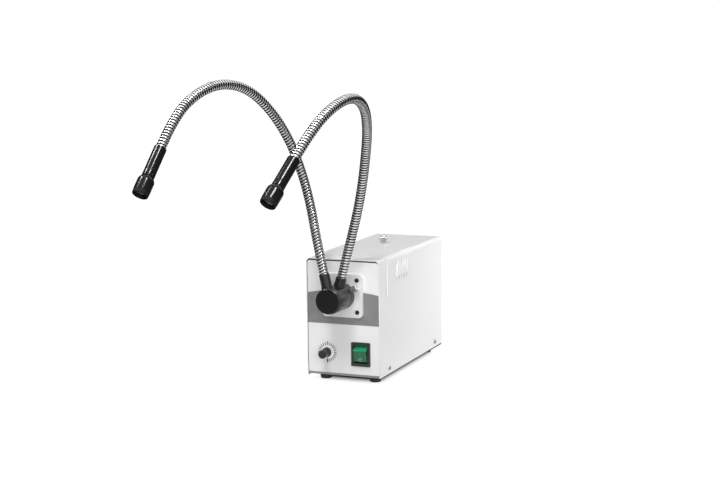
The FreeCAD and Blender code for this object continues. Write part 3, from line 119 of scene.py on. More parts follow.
class Finish(Tree):
    """A surface finish, built up from noise, streaks, tint and grain."""

    def __init__(self, name, colour, roughness, metallic=0.0, **sockets):
        self.material = bpy.data.materials.new(name)
        self.material.use_nodes = True
        super().__init__(self.material.node_tree)
        self.shader = self.nodes["Principled BSDF"]
        self.colour = (*colour, 1.0)
        self.shader.inputs["Base Color"].default_value = self.colour
        self.shader.inputs["Roughness"].default_value = roughness
        self.shader.inputs["Metallic"].default_value = metallic
        for socket, value in sockets.items():
            self.shader.inputs[socket.replace("_", " ")].default_value = value
        self.place = self.nodes.new("ShaderNodeTexCoord").outputs["Object"]

    def stretched(self, stretch):
        mapping = self.nodes.new("ShaderNodeMapping")
        mapping.inputs["Scale"].default_value = stretch
        self.links.new(self.place, mapping.inputs["Vector"])
        return mapping.outputs["Vector"]

    def noise(self, scale, detail=3.0, stretch=None):
        noise = self.nodes.new("ShaderNodeTexNoise")
        noise.inputs["Scale"].default_value = scale
        noise.inputs["Detail"].default_value = detail
        self.links.new(self.stretched(stretch) if stretch else self.place, noise.inputs["Vector"])
        return noise.outputs["Fac"]

    def cells(self, scale, feature="F1"):
        cells = self.nodes.new("ShaderNodeTexVoronoi")
        cells.feature = feature
        cells.inputs["Scale"].default_value = scale
        self.links.new(self.place, cells.inputs["Vector"])
        return cells.outputs["Distance"]

    def tint(self, value, colour):
        """Mixes another colour in where the value is high."""
        mix = self.nodes.new("ShaderNodeMix")
        mix.data_type = "RGBA"
        mix.inputs["A"].default_value = self.colour
        mix.inputs["B"].default_value = (*colour, 1.0)
        linked = self.shader.inputs["Base Color"].links
        if linked:
            self.links.new(linked[0].from_socket, mix.inputs["A"])
        self.links.new(value, mix.inputs["Factor"])
        self.links.new(mix.outputs["Result"], self.shader.inputs["Base Color"])
        return self

    def gloss(self, value):
        self.links.new(value, self.shader.inputs["Roughness"])
        return self

    def grain(self, value, depth, strength=0.5):
        """A bump of this depth in millimetres, on top of any bump before it."""
        bump = self.nodes.new("ShaderNodeBump")
        bump.inputs["Distance"].default_value = depth * MM
        bump.inputs["Strength"].default_value = strength
        linked = self.shader.inputs["Normal"].links
        if linked:
            self.links.new(linked[0].from_socket, bump.inputs["Normal"])
        self.links.new(value, bump.inputs["Height"])
        self.links.new(bump.outputs["Normal"], self.shader.inputs["Normal"])
        return self


def powder_coat(name, colour, roughness=0.42):
    """Baked powder paint: fine orange peel, faint clouds and a few darker specks."""
    coat = Finish(name, colour, roughness)
    coat.tint(coat.ranged(coat.noise(14.0, 4.0), 0.0, 0.22), [c * 0.93 for c in colour])
    coat.tint(coat.ranged(coat.noise(900.0, 1.0), 0.0, 0.5, 0.66, 0.74), [c * 0.86 for c in colour])
    coat.gloss(coat.ranged(coat.noise(240.0, 3.0), roughness - 0.05, roughness + 0.08))
    coat.grain(coat.noise(1100.0, 2.0), 0.05, 0.35)
    coat.grain(coat.noise(260.0, 2.0), 0.12, 0.18)
    return coat.material


def black_anodised(name, colour, roughness, specular=0.3):
    """Black hard finish over turned metal, with faint clouds and handling marks."""
    skin = Finish(name, colour, roughness, 0.0, Specular_IOR_Level=specular)
    skin.tint(skin.ranged(skin.noise(60.0, 3.0), 0.0, 0.35), [c * 1.4 + 0.002 for c in colour])
    skin.gloss(skin.ranged(skin.noise(50.0, 3.0), roughness - 0.01, roughness + 0.02))
    skin.grain(skin.noise(1600.0, 1.0), 0.002, 0.1)
    return skin.material


def moulded(name, colour, roughness=0.4, grain=0.06, coat=0.0):
    """Moulded plastic with a fine spark-eroded grain."""
    skin = Finish(name, colour, roughness, 0.0, Coat_Weight=coat, Coat_Roughness=0.1)
    skin.tint(skin.ranged(skin.noise(70.0, 3.0), 0.0, 0.5), [c * 1.35 + 0.003 for c in colour])
    skin.gloss(skin.ranged(skin.noise(180.0, 3.0), roughness - 0.06, roughness + 0.1))
    skin.grain(skin.noise(1500.0, 1.0), grain, 0.4)
    return skin.material


def metal(name, colour, roughness=0.25, brushed=None, depth=0.02, worn=0.12, metallic=1.0):
    """Bare or plated metal; brushed is the stretch of its grain."""
    skin = Finish(name, colour, roughness, metallic)
    skin.tint(skin.ranged(skin.noise(60.0, 4.0), 0.0, worn * 4), [c * 0.8 for c in colour])
    streaks = skin.noise(220.0, 3.0, brushed) if brushed else skin.noise(420.0, 3.0)
    skin.gloss(skin.ranged(streaks, roughness - 0.06, roughness + 0.12))
    skin.grain(streaks, depth, 0.3)
    return skin.material


def clear_glass(name, colour):
    """Polished glass with a tint of its own."""
    skin = Finish(name, colour, 0.04, 0.0, Transmission_Weight=1.0, IOR=1.5)
    skin.gloss(skin.ranged(skin.noise(120.0, 2.0), 0.02, 0.08))
    return skin.material


CASE_PAINT = powder_coat("white_case_paint", (0.86, 0.86, 0.865))
HATCH_PAINT = powder_coat("white_hatch_paint", (0.86, 0.86, 0.865), 0.40)
CHASSIS_PAINT = powder_coat("grey_chassis_paint", (0.70, 0.70, 0.71), 0.45)
# painted shade: the darker grey of the chassis lip under the front panel
LIP_PAINTED_SHADE = powder_coat("lip_painted_shade", (0.24, 0.24, 0.245), 0.45)
PANEL_ENAMEL = powder_coat("white_panel_enamel", (0.82, 0.82, 0.82), 0.36)
# painted shade: black for the strips in the gaps at the front panel and under the cover's sides
GAP_SHADE_BLACK = moulded("black_painted_gap_shade", (0.030, 0.030, 0.031), 0.6, 0.05)
BAND_INK = moulded("grey_band_ink", (0.20, 0.20, 0.205), 0.42, 0.03)
# black ink for the dial's print, and painted shade in the screws' recesses
DIAL_INK_AND_RECESS_SHADE = moulded("black_dial_ink_and_painted_recess_shade", (0.012, 0.012, 0.012), 0.55, 0.01)
PLATE_METAL = metal("satin_plate_metal", (0.80, 0.80, 0.81), 0.42, (1.0, 1.0, 14.0), 0.01, 0.03, 0.25)
COLLAR_METAL = black_anodised("grey_collar_metal", (0.024, 0.024, 0.025), 0.34, 0.5)
GUIDE_BLACK = black_anodised("black_guide_finish", (0.012, 0.012, 0.013), 0.26, 0.42)
CAP_BLACK = black_anodised("black_cap_finish", (0.006, 0.006, 0.007), 0.34, 0.32)
NOZZLE_BLACK = black_anodised("black_nozzle_finish", (0.008, 0.008, 0.009), 0.17, 0.12)
TIP_BLACK = black_anodised("black_tip_finish", (0.010, 0.010, 0.011), 0.60, 0.08)
SCREW_BLACK = black_anodised("black_screw_finish", (0.014, 0.014, 0.014), 0.34)
SCREW_NICKEL = metal("nickel_screw_plate", (0.70, 0.69, 0.67), 0.24)
# painted shade: a darker copy of the screw nickel, for the dark look of the side screws
SCREW_NICKEL_SHADED = metal("nickel_screw_painted_shade", (0.30, 0.30, 0.30), 0.34)
WASHER_SATIN = metal("satin_washer_plate", (0.94, 0.94, 0.94), 0.40, None, 0.01, 0.02, 0.2)
KNURL_NICKEL = metal("nickel_knurl_plate", (0.76, 0.75, 0.73), 0.22)
# painted shade: a darker copy of the knurl nickel
KNURL_NICKEL_SHADED = metal("nickel_knurl_painted_shade", (0.60, 0.60, 0.605), 0.34)
SWITCH_BLACK = moulded("black_switch_plastic", (0.012, 0.012, 0.013), 0.34, 0.02)
KNOB_BLACK = moulded("black_knob_plastic", (0.008, 0.008, 0.008), 0.34, 0.02)
KNOB_GREY = moulded("grey_knob_foot", (0.045, 0.045, 0.045), 0.42, 0.02)
WHITE_INK_AND_GLINT = moulded("white_mark_ink_and_painted_glint", (0.80, 0.80, 0.79), 0.5, 0.01)
PALE_GREEN = moulded("pale_green_mark", (0.11, 0.38, 0.22), 0.4, 0.01)
FAINT_GREEN = moulded("faint_green_mark", (0.035, 0.20, 0.11), 0.4, 0.01)
RUBBER = moulded("black_foot_rubber", (0.014, 0.014, 0.014), 0.68, 0.10)
INLET_BLACK = moulded("black_inlet_plastic", (0.016, 0.016, 0.016), 0.42, 0.03)
FAN_BLACK = moulded("black_fan_plastic", (0.012, 0.012, 0.013), 0.48, 0.03)
GUARD_CHROME = metal("bright_guard_wire", (0.84, 0.84, 0.85), 0.14, None, 0.004)
LABEL_FOIL = metal("silver_hub_foil", (0.50, 0.50, 0.51), 0.42, (18.0, 1.0, 1.0), 0.01)
FERRULE_STEEL = metal("turned_ferrule_steel", (0.62, 0.62, 0.62), 0.24, (1.0, 30.0, 1.0), 0.01)
ZINC = metal("zinc_bracket_plate", (0.60, 0.61, 0.62), 0.36, (1.0, 12.0, 1.0), 0.02)
LAMINATION = metal("varnished_core_laminations", (0.16, 0.15, 0.15), 0.45, (1.0, 60.0, 1.0), 0.2)
BOARD_MASK = moulded("green_board_mask", (0.01, 0.09, 0.03), 0.34, 0.03, 0.3)
CERAMIC = moulded("cream_lamp_ceramic", (0.66, 0.60, 0.50), 0.7, 0.12)
PIN_BRASS = metal("tinned_pin_brass", (0.74, 0.66, 0.46), 0.25)
# painted shade: a dark grey tint that keeps the nozzle's recessed tip dark
LENS_GLASS_SHADED = clear_glass("lens_glass_painted_shade_tint", (0.18, 0.19, 0.20))
FILTER_GLASS = clear_glass("pale_filter_glass", (0.82, 0.95, 0.92))
FUSE_GLASS = clear_glass("fuse_tube_glass", (0.95, 0.97, 0.97))


def hose_strip():
    """Polished steel strip, darkened to near black down in the seams: painted shade, carried by the
    attribute groove.
    """
    skin = Finish("polished_hose_strip", (0.86, 0.86, 0.87), 0.18, 1.0)
    groove = skin.nodes.new("ShaderNodeAttribute")
    groove.attribute_name = "groove"
    skin.tint(skin.ranged(skin.noise(50.0, 2.0), 0.0, 0.4), (0.70, 0.70, 0.72))
    # painted shade: near black where the seam attribute is high
    skin.tint(skin.ranged(groove.outputs["Fac"], 0.0, 1.0, 0.05, 0.80), (0.014, 0.014, 0.015))
    skin.gloss(skin.ranged(skin.noise(80.0, 2.0), 0.15, 0.22))
    return skin.material


def fibre_bundle_glass():
    """Many thin glass fibres packed side by side."""
    skin = Finish("packed_fibre_glass", (0.62, 0.66, 0.62), 0.3, 0.0, Coat_Weight=0.4)
    skin.grain(skin.cells(2600.0), 0.05, 0.6)
    skin.tint(skin.ranged(skin.cells(2600.0), 0.0, 0.8, 0.2, 0.6), (0.25, 0.28, 0.26))
    return skin.material


def green_plastic(name, colour, glow):
    """Tinted translucent plastic with a faint painted glow."""
    skin = Finish(
        name, colour, 0.24, 0.0, Subsurface_Weight=0.2, Subsurface_Scale=0.002, Emission_Strength=glow,
    )
    skin.shader.inputs["Emission Color"].default_value = (*colour, 1.0)
    skin.tint(skin.ranged(skin.noise(90.0, 3.0), 0.0, 0.5), [c * 1.25 for c in colour])
    skin.gloss(skin.ranged(skin.noise(200.0, 2.0), 0.20, 0.30))
    return skin.material


def reflector_glass():
    """Coated glass of the lamp's reflector, with moulded facets."""
    skin = Finish("dichroic_reflector_glass", (0.72, 0.70, 0.62), 0.16, 0.85)
    skin.tint(skin.ranged(skin.noise(40.0, 2.0), 0.0, 1.0), (0.52, 0.62, 0.72))
    skin.grain(skin.cells(240.0, "SMOOTH_F1"), 0.6, 0.6)
    return skin.material


HOSE_STRIP = hose_strip()
FIBRE_GLASS = fibre_bundle_glass()
# painted glow on the rocker's green
ROCKER_GREEN = green_plastic("green_rocker_plastic", (0.004, 0.105, 0.042), 0.04)
# painted highlight: a brighter, more glowing copy of the rocker's green for its upward faces
ROCKER_SHOULDER_LIT = green_plastic("rocker_shoulder_painted_highlight", (0.010, 0.26, 0.11), 0.08)
REFLECTOR = reflector_glass()


# ---- making of pieces
def finish_piece(shape, name, body, finishes, stands_for=(), crease=35.0):
    """Turns a bmesh in millimetres into a finished piece on its body."""
    mesh = bpy.data.meshes.new(name)
    shape.to_mesh(mesh)
    shape.free()
    mesh.transform(Matrix.Scale(MM, 4))
    for finish in finishes if isinstance(finishes, (list, tuple)) else [finishes]:
        mesh.materials.append(finish)
    mesh.shade_smooth()
    mesh.set_sharp_from_angle(angle=math.radians(crease))
    piece = bpy.data.objects.new(name, mesh)
    bpy.context.scene.collection.objects.link(piece)
    if body:
        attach(piece, body)
    if stands_for:
        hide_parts(*stands_for)
    return piece


def weigh_normals(piece):
    """Keeps broad faces flat beside their rounded edges."""
    weighted = piece.modifiers.new("flat_faces", "WEIGHTED_NORMAL")
    weighted.keep_sharp = True
    weighted.weight = 90
    return piece


def soften(shape, width, segments=2):
    """Rounds the sharp edges of a shape."""
    limit = math.radians(SHARP)
    sharp = [e for e in shape.edges if len(e.link_faces) == 2 and e.calc_face_angle(0.0) > limit]
    bmesh.ops.bevel(
        shape, geom=sharp, offset=width, offset_type="OFFSET", affect="EDGES", segments=segments,
        profile=0.5, material=-1, clamp_overlap=True,
    )
    return shape


def from_node(node, width, segments=2):
    """A merged copy of a solid, in millimetres, with its edges rounded."""
    shape = bmesh.new()
    shape.from_mesh(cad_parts[node].data)
    bmesh.ops.scale(shape, verts=shape.verts, vec=(1000.0, 1000.0, 1000.0))
    bmesh.ops.remove_doubles(shape, verts=shape.verts, dist=0.001)
    bmesh.ops.dissolve_limit(
        shape, angle_limit=math.radians(0.8), verts=shape.verts, edges=shape.edges, delimit={"NORMAL"}
    )
    return soften(shape, width, segments)


def dressed(node, body, finishes, width, segments=2):
    """A solid shown with rounded edges and its own finish."""
    shape = from_node(node, width, segments)
    return weigh_normals(finish_piece(shape, "dressed_" + node, body, finishes, (node,), 40.0))


def plain(node, finish):
    """Gives a solid that needs no rounding its finish."""
    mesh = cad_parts[node].data
    mesh.materials.clear()
    mesh.materials.append(finish)


def turned(shape, name, body, finishes, stands_for=(), crease=35.0):
    """A finished turned piece, with flat faces beside its rounded edges."""
    return weigh_normals(finish_piece(shape, name, body, finishes, stands_for, crease))


def lathe(profile, steps):
    """A turned shape about Z, from (radius, height) pairs."""
    shape = bmesh.new()
    rim = [shape.verts.new((radius, 0.0, height)) for radius, height in profile]
    edges = [shape.edges.new(pair) for pair in zip(rim, rim[1:])]
    bmesh.ops.spin(
        shape, geom=rim + edges, cent=(0, 0, 0), axis=(0, 0, 1), angle=2 * math.pi, steps=steps,
        use_merge=True,
    )
    bmesh.ops.remove_doubles(shape, verts=shape.verts, dist=0.0005)
    bmesh.ops.recalc_face_normals(shape, faces=shape.faces)
    return shape


def aim(start, way, turn=0.0):
    """The matrix that stands a shape's Z along a way, from a start."""
    tilt = Vector((0, 0, 1)).rotation_difference(Vector(way)).to_matrix().to_4x4()
    return Matrix.Translation(start) @ tilt @ Matrix.Rotation(turn, 4, "Z")


def put(shape, matrix):
    """Moves a shape to its place."""
    bmesh.ops.transform(shape, matrix=matrix, verts=shape.verts)
    return shape


def joined(shapes):
    """Several shapes as one."""
    whole = bmesh.new()
    holder = bpy.data.meshes.new("holder")
    for shape in shapes:
        shape.to_mesh(holder)
        shape.free()
        whole.from_mesh(holder)
    bpy.data.meshes.remove(holder)
    return whole


def painted(shape, index):
    """Gives a whole shape one of its piece's finishes."""
    for face in shape.faces:
        face.material_index = index
    return shape


def thickened(shape, faces, way):
    """Gives flat faces their thickness."""
    made = bmesh.ops.extrude_face_region(shape, geom=faces)
    moved = [v for v in made["geom"] if isinstance(v, bmesh.types.BMVert)]
    bmesh.ops.translate(shape, verts=moved, vec=way)
    bmesh.ops.recalc_face_normals(shape, faces=shape.faces)
    return shape


def fours(across, along):
    """Four places that mirror one another about two axes."""
    return [(sx * across, sy * along) for sx in (-1, 1) for sy in (-1, 1)]


def slab(x, y, z, width=0.0):
    """A block between limits, with rounded edges."""
    shape = bmesh.new()
    bmesh.ops.create_cube(shape, size=1.0)
    bmesh.ops.scale(shape, verts=shape.verts, vec=(x[1] - x[0], y[1] - y[0], z[1] - z[0]))
    middle = Vector(((x[0] + x[1]) / 2, (y[0] + y[1]) / 2, (z[0] + z[1]) / 2))
    bmesh.ops.translate(shape, verts=shape.verts, vec=middle)
    if width:
        soften(shape, width)
    return shape


FORWARD = Vector((0, -1, 0))
BACKWARD = Vector((0, 1, 0))
UP = Vector((0, 0, 1))


# ---- screws
def pan_head(radius=3.0, height=2.2):
    """A pan head with a cross recess painted black as painted shade, seat at 0."""
    top = height * 0.965
    head = lathe([
        (0.0, top), (radius * 0.30, top), (radius * 0.55, top * 0.97), (radius * 0.78, top * 0.84),
        (radius * 0.93, top * 0.60), (radius, top * 0.28), (radius, 0.0), (0.0, 0.0),
    ], 32)
    # the cross recess and the middle well take the second finish, black: painted shade
    recess = []
    reach, half = radius * 0.58, radius * 0.13
    for turn in (0.0, math.pi / 2):
        arm = slab((-reach, reach), (-half, half), (top * 0.90, top * 1.02), 0.05)
        recess.append(painted(put(arm, Matrix.Rotation(turn, 4, "Z")), 1))
    well = painted(lathe([(0.0, top * 1.03), (radius * 0.2, top * 1.03), (radius * 0.22, top * 0.8)], 16), 1)
    return joined([head] + recess + [well])


def socket_head(radius=3.0, height=2.6):
    """A button head with a round well, seat at 0."""
    return lathe([
        (0.0, height * 0.55), (radius * 0.46, height * 0.55), (radius * 0.50, height * 0.98),
        (radius * 0.66, height), (radius * 0.88, height * 0.9), (radius, height * 0.62),
        (radius, 0.0), (0.0, 0.0),
    ], 36)


def screws_on(seats, name, finish, maker):
    """One head on each seat, each turned a little further than the last."""
    heads = [put(maker(), aim(seat, way, SCREW_TURN * n)) for n, (seat, way) in enumerate(seats)]
    return finish_piece(joined(heads), name, "case", [finish, DIAL_INK_AND_RECESS_SHADE], ("screws",), 30.0)


def all_screws():
    """Every screw head, in the finish of its place."""
    plate = [(Vector((x, PLATE, AXIS_Z + z)), FORWARD) for x, z in fours(PLATE_SCREW, PLATE_SCREW)]
    sides = [
        (Vector((x, y, 18.5)), Vector((math.copysign(1, x), 0, 0))) for x, y in fours(HALF_WIDTH, 95.0)
    ]
    fan = [(Vector((x, REAR + 1.8, AXIS_Z + z)), BACKWARD) for x, z in fours(FAN_SCREW, FAN_SCREW)]
    inlet = [(Vector((INLET.x + side * 20.0, REAR + 3.0, INLET.z)), BACKWARD) for side in (-1, 1)]
    selector = [(Vector((SELECTOR.x + side * 21.0, REAR, SELECTOR.z)), BACKWARD) for side in (-1, 1)]
    feet = [(Vector((x, y, 5.25)), -UP) for x, y in fours(*FOOT_PLACE)]
    clamp = [(Vector((side * 44.0, 50.0, 13.2)), UP) for side in (-1, 1)]
    bracket = [(Vector((side * 70.0 / 3, -70.9, 13.2)), UP) for side in (-1, 1)]
    board = [(Vector((x, -22.0 + y, 19.3)), UP) for x, y in fours(35.0, 12.0)]
    screws_on(plate, "plate_screws", SCREW_BLACK, socket_head)
    screws_on(sides, "cover_screws", SCREW_NICKEL_SHADED, pan_head)
    screws_on(fan, "guard_screws", SCREW_NICKEL, pan_head)
    screws_on(inlet, "inlet_screws", SCREW_NICKEL, pan_head)
    screws_on(selector, "selector_screws", SCREW_BLACK, pan_head)
    screws_on(feet, "foot_screws", SCREW_NICKEL, pan_head)
    screws_on(clamp + bracket + board, "inner_screws", SCREW_NICKEL, pan_head)


# ---- sheet case
def louvre():
    """One pressed hood: half of a long dome, open along its rear edge."""
    hood = bmesh.new()
    bmesh.ops.create_uvsphere(hood, u_segments=24, v_segments=16, radius=1.0)
    for place, way in (((0, 0, 0), (-1, 0, 0)), ((0, 0.25, 0), (0, 1, 0))):
        bmesh.ops.bisect_plane(
            hood, geom=hood.verts[:] + hood.edges[:] + hood.faces[:], plane_co=place, plane_no=way,
            clear_outer=True,
        )
    bmesh.ops.scale(hood, verts=hood.verts, vec=(1.9, 3.4, 14.0))
    bmesh.ops.recalc_face_normals(hood, faces=hood.faces)
    bmesh.ops.solidify(hood, geom=hood.faces[:], thickness=0.5)
    return hood


def hatch_louvres():
    """Five hoods on each side of the lamp hatch."""
    hoods = []
    middle = CASE_TOP + 0.2 - 10.0 - 13.0
    for n in range(5):
        y = -64.0 + n * 10.0
        for side in (-1, 1):
            hood = louvre()
            if side < 0:
                bmesh.ops.scale(hood, verts=hood.verts, vec=(-1, 1, 1))
                bmesh.ops.reverse_faces(hood, faces=hood.faces)
            hoods.append(put(hood, Matrix.Translation((side * 56.15, y + 1.0, middle))))
    finish_piece(joined(hoods), "hatch_louvres", "lamp_hatch", HATCH_PAINT, (), 40.0)


def sheet_case():
    """Cover, lamp hatch, chassis, front panel and socket plate."""
    dressed("cover", "case", CASE_PAINT, 0.3)
    dressed("lamp_hatch", "lamp_hatch", HATCH_PAINT, 0.28)
    hatch_louvres()
    chassis = from_node("chassis", 0.25)
    # faces of the lip under the front panel take the darker grey: painted shade
    for face in chassis.faces:
        middle = face.calc_center_median()
        face.material_index = int(middle.y < PANEL + 2.0 and middle.z < CASE_BOTTOM + LIP_HEIGHT + 0.5)
    chassis = finish_piece(chassis, "dressed_chassis", "case", [CHASSIS_PAINT, LIP_PAINTED_SHADE], ("chassis",),
                           40.0)
    weigh_normals(chassis)
    dressed("front_panel", "case", PANEL_ENAMEL, 0.35)
    dressed("socket_plate", "case", PLATE_METAL, 0.5, segments=3)


def arched(half, low, high, radius, y, steps=10):
    """The outline of an upright panel with rounded upper corners, as a loop of points."""
    points = [(half, low)]
    for side, first in ((1, 0.0), (-1, math.pi / 2)):
        for n in range(steps + 1):
            angle = first + math.pi / 2 * n / steps
            across = side * (half - radius) + radius * math.cos(angle)
            points.append((across, high - radius + radius * math.sin(angle)))
    points.append((-half, low))
    return [Vector((x, y, z)) for x, z in points]


def lower_edge_shade():
    """A thin black strip under the lower edges of the cover's sides: painted shade."""
    middle, half, end = 54.4, 0.55, 127.6
    height = (CASE_BOTTOM - 2.0, CASE_BOTTOM + 0.3)
    strips = [
        slab((side * middle - half, side * middle + half), (-end, end), height, 0.12) for side in (-1, 1)
    ]
    finish_piece(joined(strips), "lower_edge_shade", "case", GAP_SHADE_BLACK, (), 30.0)


def panel_gap_shade():
    """A black strip in the gap between the cover and the front panel: painted shade."""
    half = HALF_WIDTH - COVER_SHEET - 0.05
    low = CASE_BOTTOM + LIP_HEIGHT
    top = CASE_TOP - COVER_SHEET - 0.05
    shade_strip = bmesh.new()
    loops = []
    for outline in (arched(half, low, top, 4.7, PANEL), arched(half - 0.5, low, top - 2.1, 3.8, PANEL)):
        verts = [shade_strip.verts.new(point) for point in outline]
        loops += [shade_strip.edges.new(pair) for pair in zip(verts, verts[1:])]
    bmesh.ops.bridge_loops(shade_strip, edges=loops)
    bmesh.ops.recalc_face_normals(shade_strip, faces=shade_strip.faces)
    if sum(face.normal.y for face in shade_strip.faces) > 0:
        bmesh.ops.reverse_faces(shade_strip, faces=shade_strip.faces)
    thickened(shade_strip, shade_strip.faces[:], (0, -0.35, 0))
    finish_piece(shade_strip, "panel_gap_shade", "case", GAP_SHADE_BLACK, (), 30.0)


def band():
    """The printed grey field behind the socket, with its arched upper edge."""
    shape = bmesh.new()
    low, side_top, rise = CASE_BOTTOM + 73.0, CASE_BOTTOM + 116.0, 5.0
    half = 53.2
    count = 24
    upper = []
    for n in range(count + 1):
        x = -half + 2 * half * n / count
        upper.append(shape.verts.new((x, PANEL - 0.03, side_top + rise * (1 - (x / half) ** 2))))
    lower = [shape.verts.new((x, PANEL - 0.03, low)) for x in (half, -half)]
    face = shape.faces.new(upper + lower)
    if face.normal.y > 0:
        bmesh.ops.reverse_faces(shape, faces=[face])
    thickened(shape, [face], (0, 0.05, 0))
    finish_piece(shape, "panel_band", "case", BAND_INK, ())


def dial_ticks():
    """Ticks round the knob, from nine o'clock over the top to six o'clock."""
    ticks = []
    for degrees in range(-105, 181, 15):
        reach, half = (10.0, 14.0), 0.58
        if degrees == 0:
            reach, half = (9.8, 15.0), 0.62
        if degrees == 180:
            reach, half = (9.3, 15.2), 0.85
        tick = slab((-half, half), (-0.05, 0.02), reach)
        put(tick, Matrix.Rotation(math.radians(degrees), 4, "Y"))
        ticks.append(put(tick, Matrix.Translation((KNOB.x, PANEL, KNOB.z))))
    finish_piece(joined(ticks), "dial_ticks", "case", DIAL_INK_AND_RECESS_SHADE, ())


# ---- feet
def feet():
    """Four tapered feet with a hollow for the screw."""
    profile = [
        (4.0, 10.5), (8.9, 10.5), (9.0, 9.6), (8.5, 5.0), (8.1, 1.2), (7.7, 0.35), (7.0, 0.0), (4.6, 0.0),
        (4.1, 0.4), (4.0, 5.25), (0.0, 5.25),
    ]
    all_feet = [put(lathe(profile, 48), Matrix.Translation((x, y, 0))) for x, y in fours(*FOOT_PLACE)]
    turned(joined(all_feet), "rubber_feet", "case", RUBBER, ("feet",))


# ---- socket and manifold
def socket_collar():
    """The dark socket, turned with a relief groove and a bright lip round its bore."""
    profile = [
        (12.6, 15.0), (12.6, -10.2), (13.4, -11.0), (17.9, -11.0), (18.5, -10.6), (18.7, -10.0),
        (18.7, -0.4), (18.4, 0.0), (15.5, 0.0), (15.5, 15.0), (12.6, 15.0),
    ]
    collar = put(lathe(profile, 96), aim((0, PLATE, AXIS_Z), BACKWARD))
    turned(collar, "turned_socket_collar", "case", COLLAR_METAL, ("socket_collar",))


def knurled_head(radius=5.5, height=8.0, grooves=36):
    """A straight-knurled head: every other point of its rim is pulled in."""
    head = lathe([
        (0.0, height - 0.5), (radius * 0.55, height - 0.5), (radius * 0.62, height), (radius - 0.7, height),
        (radius, height - 0.7), (radius, height * 0.64), (radius, height * 0.36), (radius, 0.7),
        (radius - 0.7, 0.0), (2.1, 0.0), (2.1, height * 0.6), (0.0, height * 0.6),
    ], grooves * 2)
    step = math.pi / grooves
    for vert in head.verts:
        around = math.hypot(vert.co.x, vert.co.y)
        if around > radius - 0.05:
            place = round((math.atan2(vert.co.y, vert.co.x) % (2 * math.pi)) / step)
            if place % 2:
                vert.co.x *= (radius - 0.45) / around
                vert.co.y *= (radius - 0.45) / around
    # the top end takes the second finish; on the hatch screw a brighter nickel against the darker knurl:
    # painted light and shade
    for face in head.faces:
        face.material_index = int(face.calc_center_median().z > height - 0.65)
    return head


def thumbscrews():
    """The clamp screw of the socket and the screw of the lamp hatch."""
    clamp_lean = math.radians(28)
    clamp_way = Vector((math.cos(clamp_lean), 0, math.sin(clamp_lean)))
    clamp_root = Vector((0, PLATE - 5.5, AXIS_Z))
    head = put(knurled_head(4.8), aim(clamp_root + clamp_way * 20.0, clamp_way))
    finish_piece(head, "clamp_knurl", "collar_screw_head", [KNURL_NICKEL_SHADED, KNURL_NICKEL_SHADED], ("collar_screw_head",),
                 25.0)
    head = put(knurled_head(), aim(Vector((0, 27.7, 178.0)), UP))
    finish_piece(head, "hatch_knurl", "hatch_screw_head", [KNURL_NICKEL_SHADED, KNURL_NICKEL], ("hatch_screw_head",),
                 25.0)
    dressed("collar_screw", "collar_screw", KNURL_NICKEL_SHADED, 0.15)
    dressed("hatch_screw", "hatch_screw", KNURL_NICKEL, 0.15)


def manifold():
    """The black splitter: a drum with a chamfered cap in front of a narrow groove."""
    profile = [
        (9.05, 0.0), (17.9, 0.0), (18.3, 0.4), (18.3, 34.2), (17.9, 34.7), (17.3, 34.9), (17.3, 35.3),
        (17.6, 35.6), (17.6, 38.8), (17.5, 39.3), (17.2, 39.7), (16.8, 39.92), (16.3, 40.0), (0.0, 40.0),
        (0.0, 37.0), (9.05, 37.0), (9.05, 0.0),
    ]
    drum = lathe(profile, 96)
    for face in drum.faces:
        face.material_index = int(face.calc_center_median().z > 39.97)
    drum = put(drum, aim((0, MANIFOLD_BACK, AXIS_Z), FORWARD))
    turned(drum, "turned_manifold", "manifold", [GUIDE_BLACK, CAP_BLACK], ("manifold",))


def arm_collars():
    """Both collars that hold the hoses: one straight, one slightly conical."""
    left = lathe([
        (4.3, 13.2), (7.9, 13.2), (7.9, 18.4), (7.6, 19.4), (7.25, 20.4), (7.15, 36.6), (6.95, 37.2),
        (6.55, 37.5), (5.9, 37.4), (4.3, 37.0), (4.3, 13.2),
    ], 48)
    right = lathe([
        (4.3, 13.2), (8.1, 13.2), (8.0, 18.0), (7.2, 29.6), (7.0, 30.2), (6.6, 30.5), (5.9, 30.4),
        (4.3, 30.0), (4.3, 13.2),
    ], 48)
    pair = [put(left, aim(LEFT_ROOT, LEFT_WAY)), put(right, aim(RIGHT_ROOT, RIGHT_WAY))]
    turned(joined(pair), "turned_arm_collars", "manifold", GUIDE_BLACK, ("arm_collars",))


# ---- goosenecks
def arm_points(root, way, top, route):
    """The points that steer an arm: straight out of its collar, then along the route."""
    start = root + way * top
    return [start, start + way * 46.0] + [Vector(point) for point in route]


def smooth_line(points):
    """The points of a smooth spline steered by the route's points, in millimetres."""
    line = bpy.data.curves.new("route", "CURVE")
    line.dimensions = "3D"
    line.resolution_u = 40
    spline = line.splines.new("NURBS")
    spline.points.add(len(points) - 1)
    for knot, point in zip(spline.points, points):
        knot.co = (*point, 1.0)
    spline.order_u = 3
    spline.use_endpoint_u = True
    holder = bpy.data.objects.new("route", line)
    bpy.context.scene.collection.objects.link(holder)
    mesh = bpy.data.meshes.new_from_object(holder)
    found = [vert.co.copy() for vert in mesh.vertices]
    bpy.data.objects.remove(holder)
    bpy.data.curves.remove(line)
    bpy.data.meshes.remove(mesh)
    return found


